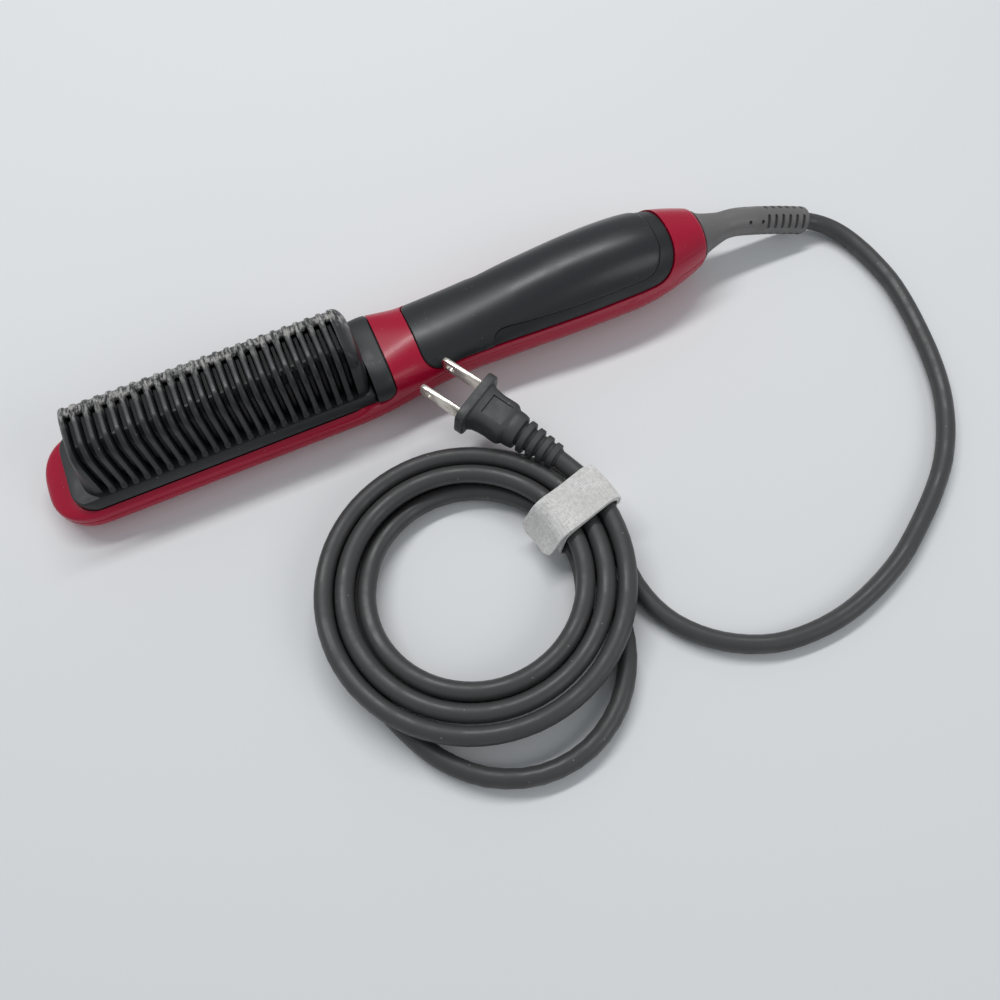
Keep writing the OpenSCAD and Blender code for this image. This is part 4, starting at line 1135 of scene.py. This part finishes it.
def collar_point(i, j, back):
    """A point of the collar, whose face leans in towards the comb."""
    s, inset = comb_e + collar_rows[i][0], collar_rows[i][1]
    lean = 0.9 * (1 - ramp(s, comb_e - 6, ring_s - 1))
    face = max(inset, lean + inset if inset < 1 else 0)
    point = skin(max(s, ring_s - 3.5), 180 * j / collar_columns, 4 if back else face)
    point.x = x_of(s) * mm
    return point


below_outline = [(x_of(neck_s - 10), 0), (x_of(ring_s + 20), 0), (x_of(ring_s + 20), collar_z + collar_r)]
below_outline += arc(x_of(collar_e - collar_r), collar_z + collar_r, collar_r, 0, -math.pi / 2, 10)
below = prism(below_outline + [(x_of(neck_s - 10), collar_z)], -30, 30, sideways)
comb_room = prism([(-36, 9), (36, 9), (36, 45), (-36, 45)], x_of(neck_s - 10), x_of(comb_e + 0.25), endways)
collar = carve(slabbed_grid(len(collar_rows) - 1, collar_columns, collar_point), below, comb_room)
put("collar", collar, "comb_black", stands_for=("neck_collar",))

# %% Comb base and plinth
plinth_z, plinth_w, base_z, base_w, base_r = 16.2, 29.2, 10, 32, 7.7


def plinth_ring(z, inset):
    """A level slice of the plinth, which leans in above the base."""
    limit = mix(base_w / 2, plinth_w / 2, ramp(z, 13.3, plinth_z)) - inset
    outline = round_box(comb_s + inset, comb_e - inset, base_w / 2 - inset,
                        base_r - inset, max(0.4, 2 - inset), 10)
    return [Vector((x, max(-limit, min(limit, y)), z)) * mm for x, y in outline]


base = prism(round_box(comb_s, ring_s - 0.7, base_w / 2, base_r, 0.5, 10), base_z, 13.1)
plinth_rows = ((12, 0), (13.3, 0), (14.5, 0), (15.6, 0), (15.95, 0.1), (16.13, 0.28), (16.2, 0.55))
plinth = loft([plinth_ring(*row) for row in plinth_rows])
print("plinth", plinth_w, "mm wide at", plinth_z, "mm")


# %% The comb's section
comb_half, comb_lean, corner_y, corner_z, corner_r = 13, 15.3, 5, 31.5, 7


def side_y(z):
    """Half the comb's width at a height of its leaning side."""
    return comb_half - (z - plinth_z) / comb_lean


def on_arch(place, d):
    """Width and height of the comb's section at a place of the arch, d below its surface."""
    kind, value = place[:2]
    if kind == "side":
        return side_y(value) - d, value
    if kind == "turn":
        return corner_y + (corner_r - d) * math.cos(value), corner_z + (corner_r - d) * math.sin(value)
    return value, corner_z + corner_r - d


print("comb", corner_z + corner_r, "mm high")


# %% End walls
def wall_ring(z, root, far, corner):
    """A level slice of an end wall: straight at the root and rounded at the far end."""
    half = side_y(z) if z <= corner_z else corner_y + math.sqrt(max(0, corner_r ** 2 - (z - corner_z) ** 2))
    ring = []
    for a in steps(0, math.pi, 28):
        c, s = math.cos(a), math.sin(a)
        k = reach(c, s, corner)
        ring.append(Vector((x_of(root + (far - root) * k * s), half * k * c, z)) * mm)
    return ring


front_root, rear_root = slot_s - slot_w / 2, slot_s + (slot_n - 1) * slot_pitch + slot_w / 2
front = []
for z in [13, 16.2] + steps(17, 34.5, 10) + [35.4, 36.2, 36.9, 37.4, 37.8, 38.05, 38.2]:
    far = mix(11.5, 16.94, ramp(z, 10, 35.53)) if z < 35.5 else 20.8 - math.sqrt(max(0, 16 - (z - 34.5) ** 2))
    front.append(wall_ring(z, front_root, min(far, front_root - 0.02), mix(2.9, 4, ramp(z, 16, 36))))
rear = []
for z in [13, 16.2, 20, 24, 28, 30.5, 32, 33.4, 34.6, 35.7, 36.6, 37.2, 37.6, 37.9, 38.05]:
    far = 115 if z < 30.5 else 107 + math.sqrt(max(0, 64 - (z - 30.5) ** 2))
    rear.append(wall_ring(z, rear_root, max(far, rear_root + 0.02), 4.2))
print("end walls at", front_root, "and", rear_root, "mm")


# %% Ribs
rib_half, rib_round, rib_deep = 1, 0.7, 5.5
rib_profile = [(-rib_half, rib_deep)]
rib_profile += [(rib_round - rib_half + x, rib_round - d)
                for x, d in arc(0, 0, rib_round, math.pi, math.pi / 2, 4)]
rib_profile += [(-x, inset) for x, inset in reversed(rib_profile)]


def rib_ring(place, mirror, offset):
    """One ring of a rib's profile at a place of the arch. The third value of the place is
    how far the rib flares out there."""
    flare, ring = place[2], []
    for x, inset in rib_profile:
        y, z = on_arch(place, inset - flare * (1 - inset / rib_deep))
        ring.append(Vector((x_of(offset) + x * (1 + 0.2 * flare), mirror * y, z)) * mm)
    return ring


foot = ((15.8, 1.05), (16.5, 1.05), (17.1, 0.95), (17.6, 0.6), (18.1, 0.15), (18.6, 0))
places = [("side", z, flare) for z, flare in foot + ((23, 0), (27.5, 0), (corner_z, 0))]
places += [("turn", a, 0) for a in steps(0, math.pi / 2, 9)[1:]] + [("crest", corner_y / 2, 0)]
ribs = []
for i in range(slot_n - 1):
    at = slot_s + slot_pitch * (i + 0.5)
    near, over = [rib_ring(p, 1, at) for p in places], [rib_ring(p, -1, at) for p in reversed(places)]
    ribs.append(loft(near + [rib_ring(("crest", 0, 0), 1, at)] + over))
print(len(ribs), "ribs")

# %% [markdown]
# On the far side the slots don't reach the edge: a low web joins the ribs there, and
# each slot ends over the shoulder in a short dark opening. The web is a strip that
# follows the same arch a little below the ribs.

# %% Webs and the finished comb
web_half = 1.2
web_places = [("side", z) for z in (15.8, 20, 25, corner_z)]
web_places += [("turn", a) for a in steps(0, math.radians(82), 9)[1:]]
web_insets = [(0.5, 2.3)] * len(web_places) + [(0.63, 2.2), (1, 1.9)]
web_places += [("turn", math.radians(a)) for a in (85, 87)]
webs = []
for i in range(slot_n):
    at = slot_s + slot_pitch * i
    rings = []
    for place, (outer, inner) in zip(web_places, web_insets):
        half = [(-web_half, inner), (-web_half, outer + 0.12), (-web_half / 2, outer)]
        corners = [(x, *on_arch(place, d)) for x, d in half + [(-x, d) for x, d in reversed(half)]]
        rings.append([Vector((x_of(at) + x, y, z)) * mm for x, y, z in corners])
    webs.append(loft(rings))
comb_parts = [rounded(base, 0.3), plinth, loft(front), loft(rear), *ribs, *webs]
put("comb", merged(comb_parts), "comb_black", stands_for=("comb_cover",), sharp=45)

# %% [markdown]
# ## The back
#
# The controls are on the side that lies on the table: a gloss panel with a dark window
# and three round keys with plain signs. They are simple turned and cut shapes with
# rounded edges. The signs are cut into the keys, so they need no print. Each screw sits
# sunk in the shell, with a cross cut in its head.

# %% Panel and window
plate = rounded(prism(round_box(panel_s, panel_s + panel_l, 7, 6.8, 6.8, 14), 0.35, 1.5), 0.22)
holes = [prism(round_box(window_s, window_s + window_l, 4.5, window_r, window_r), 0, 2)]
holes += [prism(circle(s, 0, key_hole_r, 64), 0, 2) for s in button_places]
put("panel", carve(plate, *holes), "panel_black", stands_for=("control_panel",))
glass = prism(round_box(window_s + 0.05, window_s + window_l - 0.05, 4.45, window_r, window_r), 0.45, 1.7)
put("window", rounded(glass, 0.12), "window_dark", stands_for=("display_window",))

# %% Screws
screws = []
for s, y, end_z in screw_places:
    shape = [(1.4, 1.7), (1.42, 2.0), (1.6, 2.22), (1.85, 2.3), (3, 2.3)]
    shape += [(3.01, 1.1), (end_z - 1, 1.1), (end_z, 0.5)]
    cross = [prism(bar(s, y, *halves), 1, 2.3) for halves in ((1.35, 0.32), (0.32, 1.35))]
    screws.append(carve(turned(s, y, shape, 32), *cross))
put("screws", merged(screws), "screw_steel", stands_for=("housing_screws",))


# %% Keys
def open_ring(s, r0, r1, a0, a1):
    """The outline of a ring with a gap, between two radii and two angles in degrees."""
    a0, a1 = math.radians(a0), math.radians(a1)
    return arc(x_of(s), 0, r1, a0, a1, 28) + arc(x_of(s), 0, r0, a1, a0, 28)


key_shape = [(0.9, 3.9), (0.95, 4.2), (1.12, 4.42), (1.4, 4.5), (2.7, 4.5)]
key_shape += [(2.71, 5.5), (3.5, 5.5), (3.6, 5.4)]
power_s, plus_s, minus_s = button_places
key_signs = {
    "power": (power_s, [open_ring(power_s, 1.55, 2.05, 40, 320), bar(power_s + 1.55, 0, 0.95, 0.25)]),
    "plus": (plus_s, [bar(plus_s, 0, 1.9, 0.27), bar(plus_s, 0, 0.27, 1.9)]),
    "minus": (minus_s, [bar(minus_s, 0, 0.27, 1.9)]),
}
for name, (s, signs) in key_signs.items():
    key = carve(turned(s, 0, key_shape, 56), *[prism(sign, 0, 1.15) for sign in signs])
    put(name + "_key_cap", key, "button_grey", name + "_key", (name + "_button",))

# %% [markdown]
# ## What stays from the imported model
#
# The heater, its fins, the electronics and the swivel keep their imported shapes, and
# only get the finishes that their slots name.

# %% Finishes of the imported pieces
slots_of = {part["node"]: part["material_slot"] for part in frame["record"]["subparts"]}
for name, slot in slots_of.items():
    for socket in bpy.data.objects[name].material_slots:
        socket.material = finishes[slot]
print("finishes given to", len(slots_of), "packed pieces")

# %% [markdown]
# ## Floor and light
#
# A plain pale floor, a long strip light behind the object, a weaker square one in front
# and an even sky. A strip draws one narrow highlight along the grip and the body, as a
# lamp in a studio does. The camera and glossy surfaces see a brighter sky than the one
# that lights the object.

# %% Floor
bm = bmesh.new()
bmesh.ops.create_grid(bm, x_segments=1, y_segments=1, size=6)
floor = loose_object("floor", bm)
pale_floor, tree, surface = new_material("pale_floor")
tone = shade(tree, noise(tree, own_place(tree), 4.0, 2.0), (0.83, 0.84, 0.85), (0.85, 0.86, 0.87))
tree.links.new(tone, surface["Base Color"])
surface["Roughness"].default_value = 0.75
surface["Specular IOR Level"].default_value = 0.2
floor.data.materials.append(pale_floor)
floor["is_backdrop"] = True
print("floor made")


# %% Lights and sky
def softbox(name, place, size, power_w, target=(0.02, -0.05, 0)):
    """A rectangular light that faces the target."""
    light = bpy.data.lights.new(name, "AREA")
    light.shape, light.size, light.size_y, light.energy = "RECTANGLE", *size, power_w
    obj = bpy.data.objects.new(name, light)
    scene.collection.objects.link(obj)
    obj.location = place
    obj.rotation_euler = (Vector(target) - Vector(place)).to_track_quat("-Z", "Y").to_euler()


softbox("key", (0.02, 0.42, 0.9), (1.1, 0.11), 5.8)
softbox("fill", (0.6, -0.7, 0.7), (0.5, 0.5), 1.6)
sky = bpy.data.worlds.new("sky")
sky.use_nodes = True
scene.world = sky
tree = sky.node_tree
rays = node(tree, "ShaderNodeLightPath")
mirrored = math_node(tree, "MAXIMUM", rays.outputs["Is Glossy Ray"], rays.outputs["Is Transmission Ray"])
seen = math_node(tree, "MAXIMUM", rays.outputs["Is Camera Ray"], mirrored)
even = node(tree, "ShaderNodeBackground", {"Color": (0.9, 0.95, 1, 1), "Strength": 0.34})
white = node(tree, "ShaderNodeBackground", {"Color": (0.86, 0.88, 0.9, 1), "Strength": 0.5})
both = node(tree, "ShaderNodeMixShader", {0: seen, 1: even.outputs[0], 2: white.outputs[0]})
tree.links.new(both.outputs[0], tree.nodes["World Output"].inputs["Surface"])
scene.view_settings.view_transform = "Standard"

# %% Finish
low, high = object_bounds()
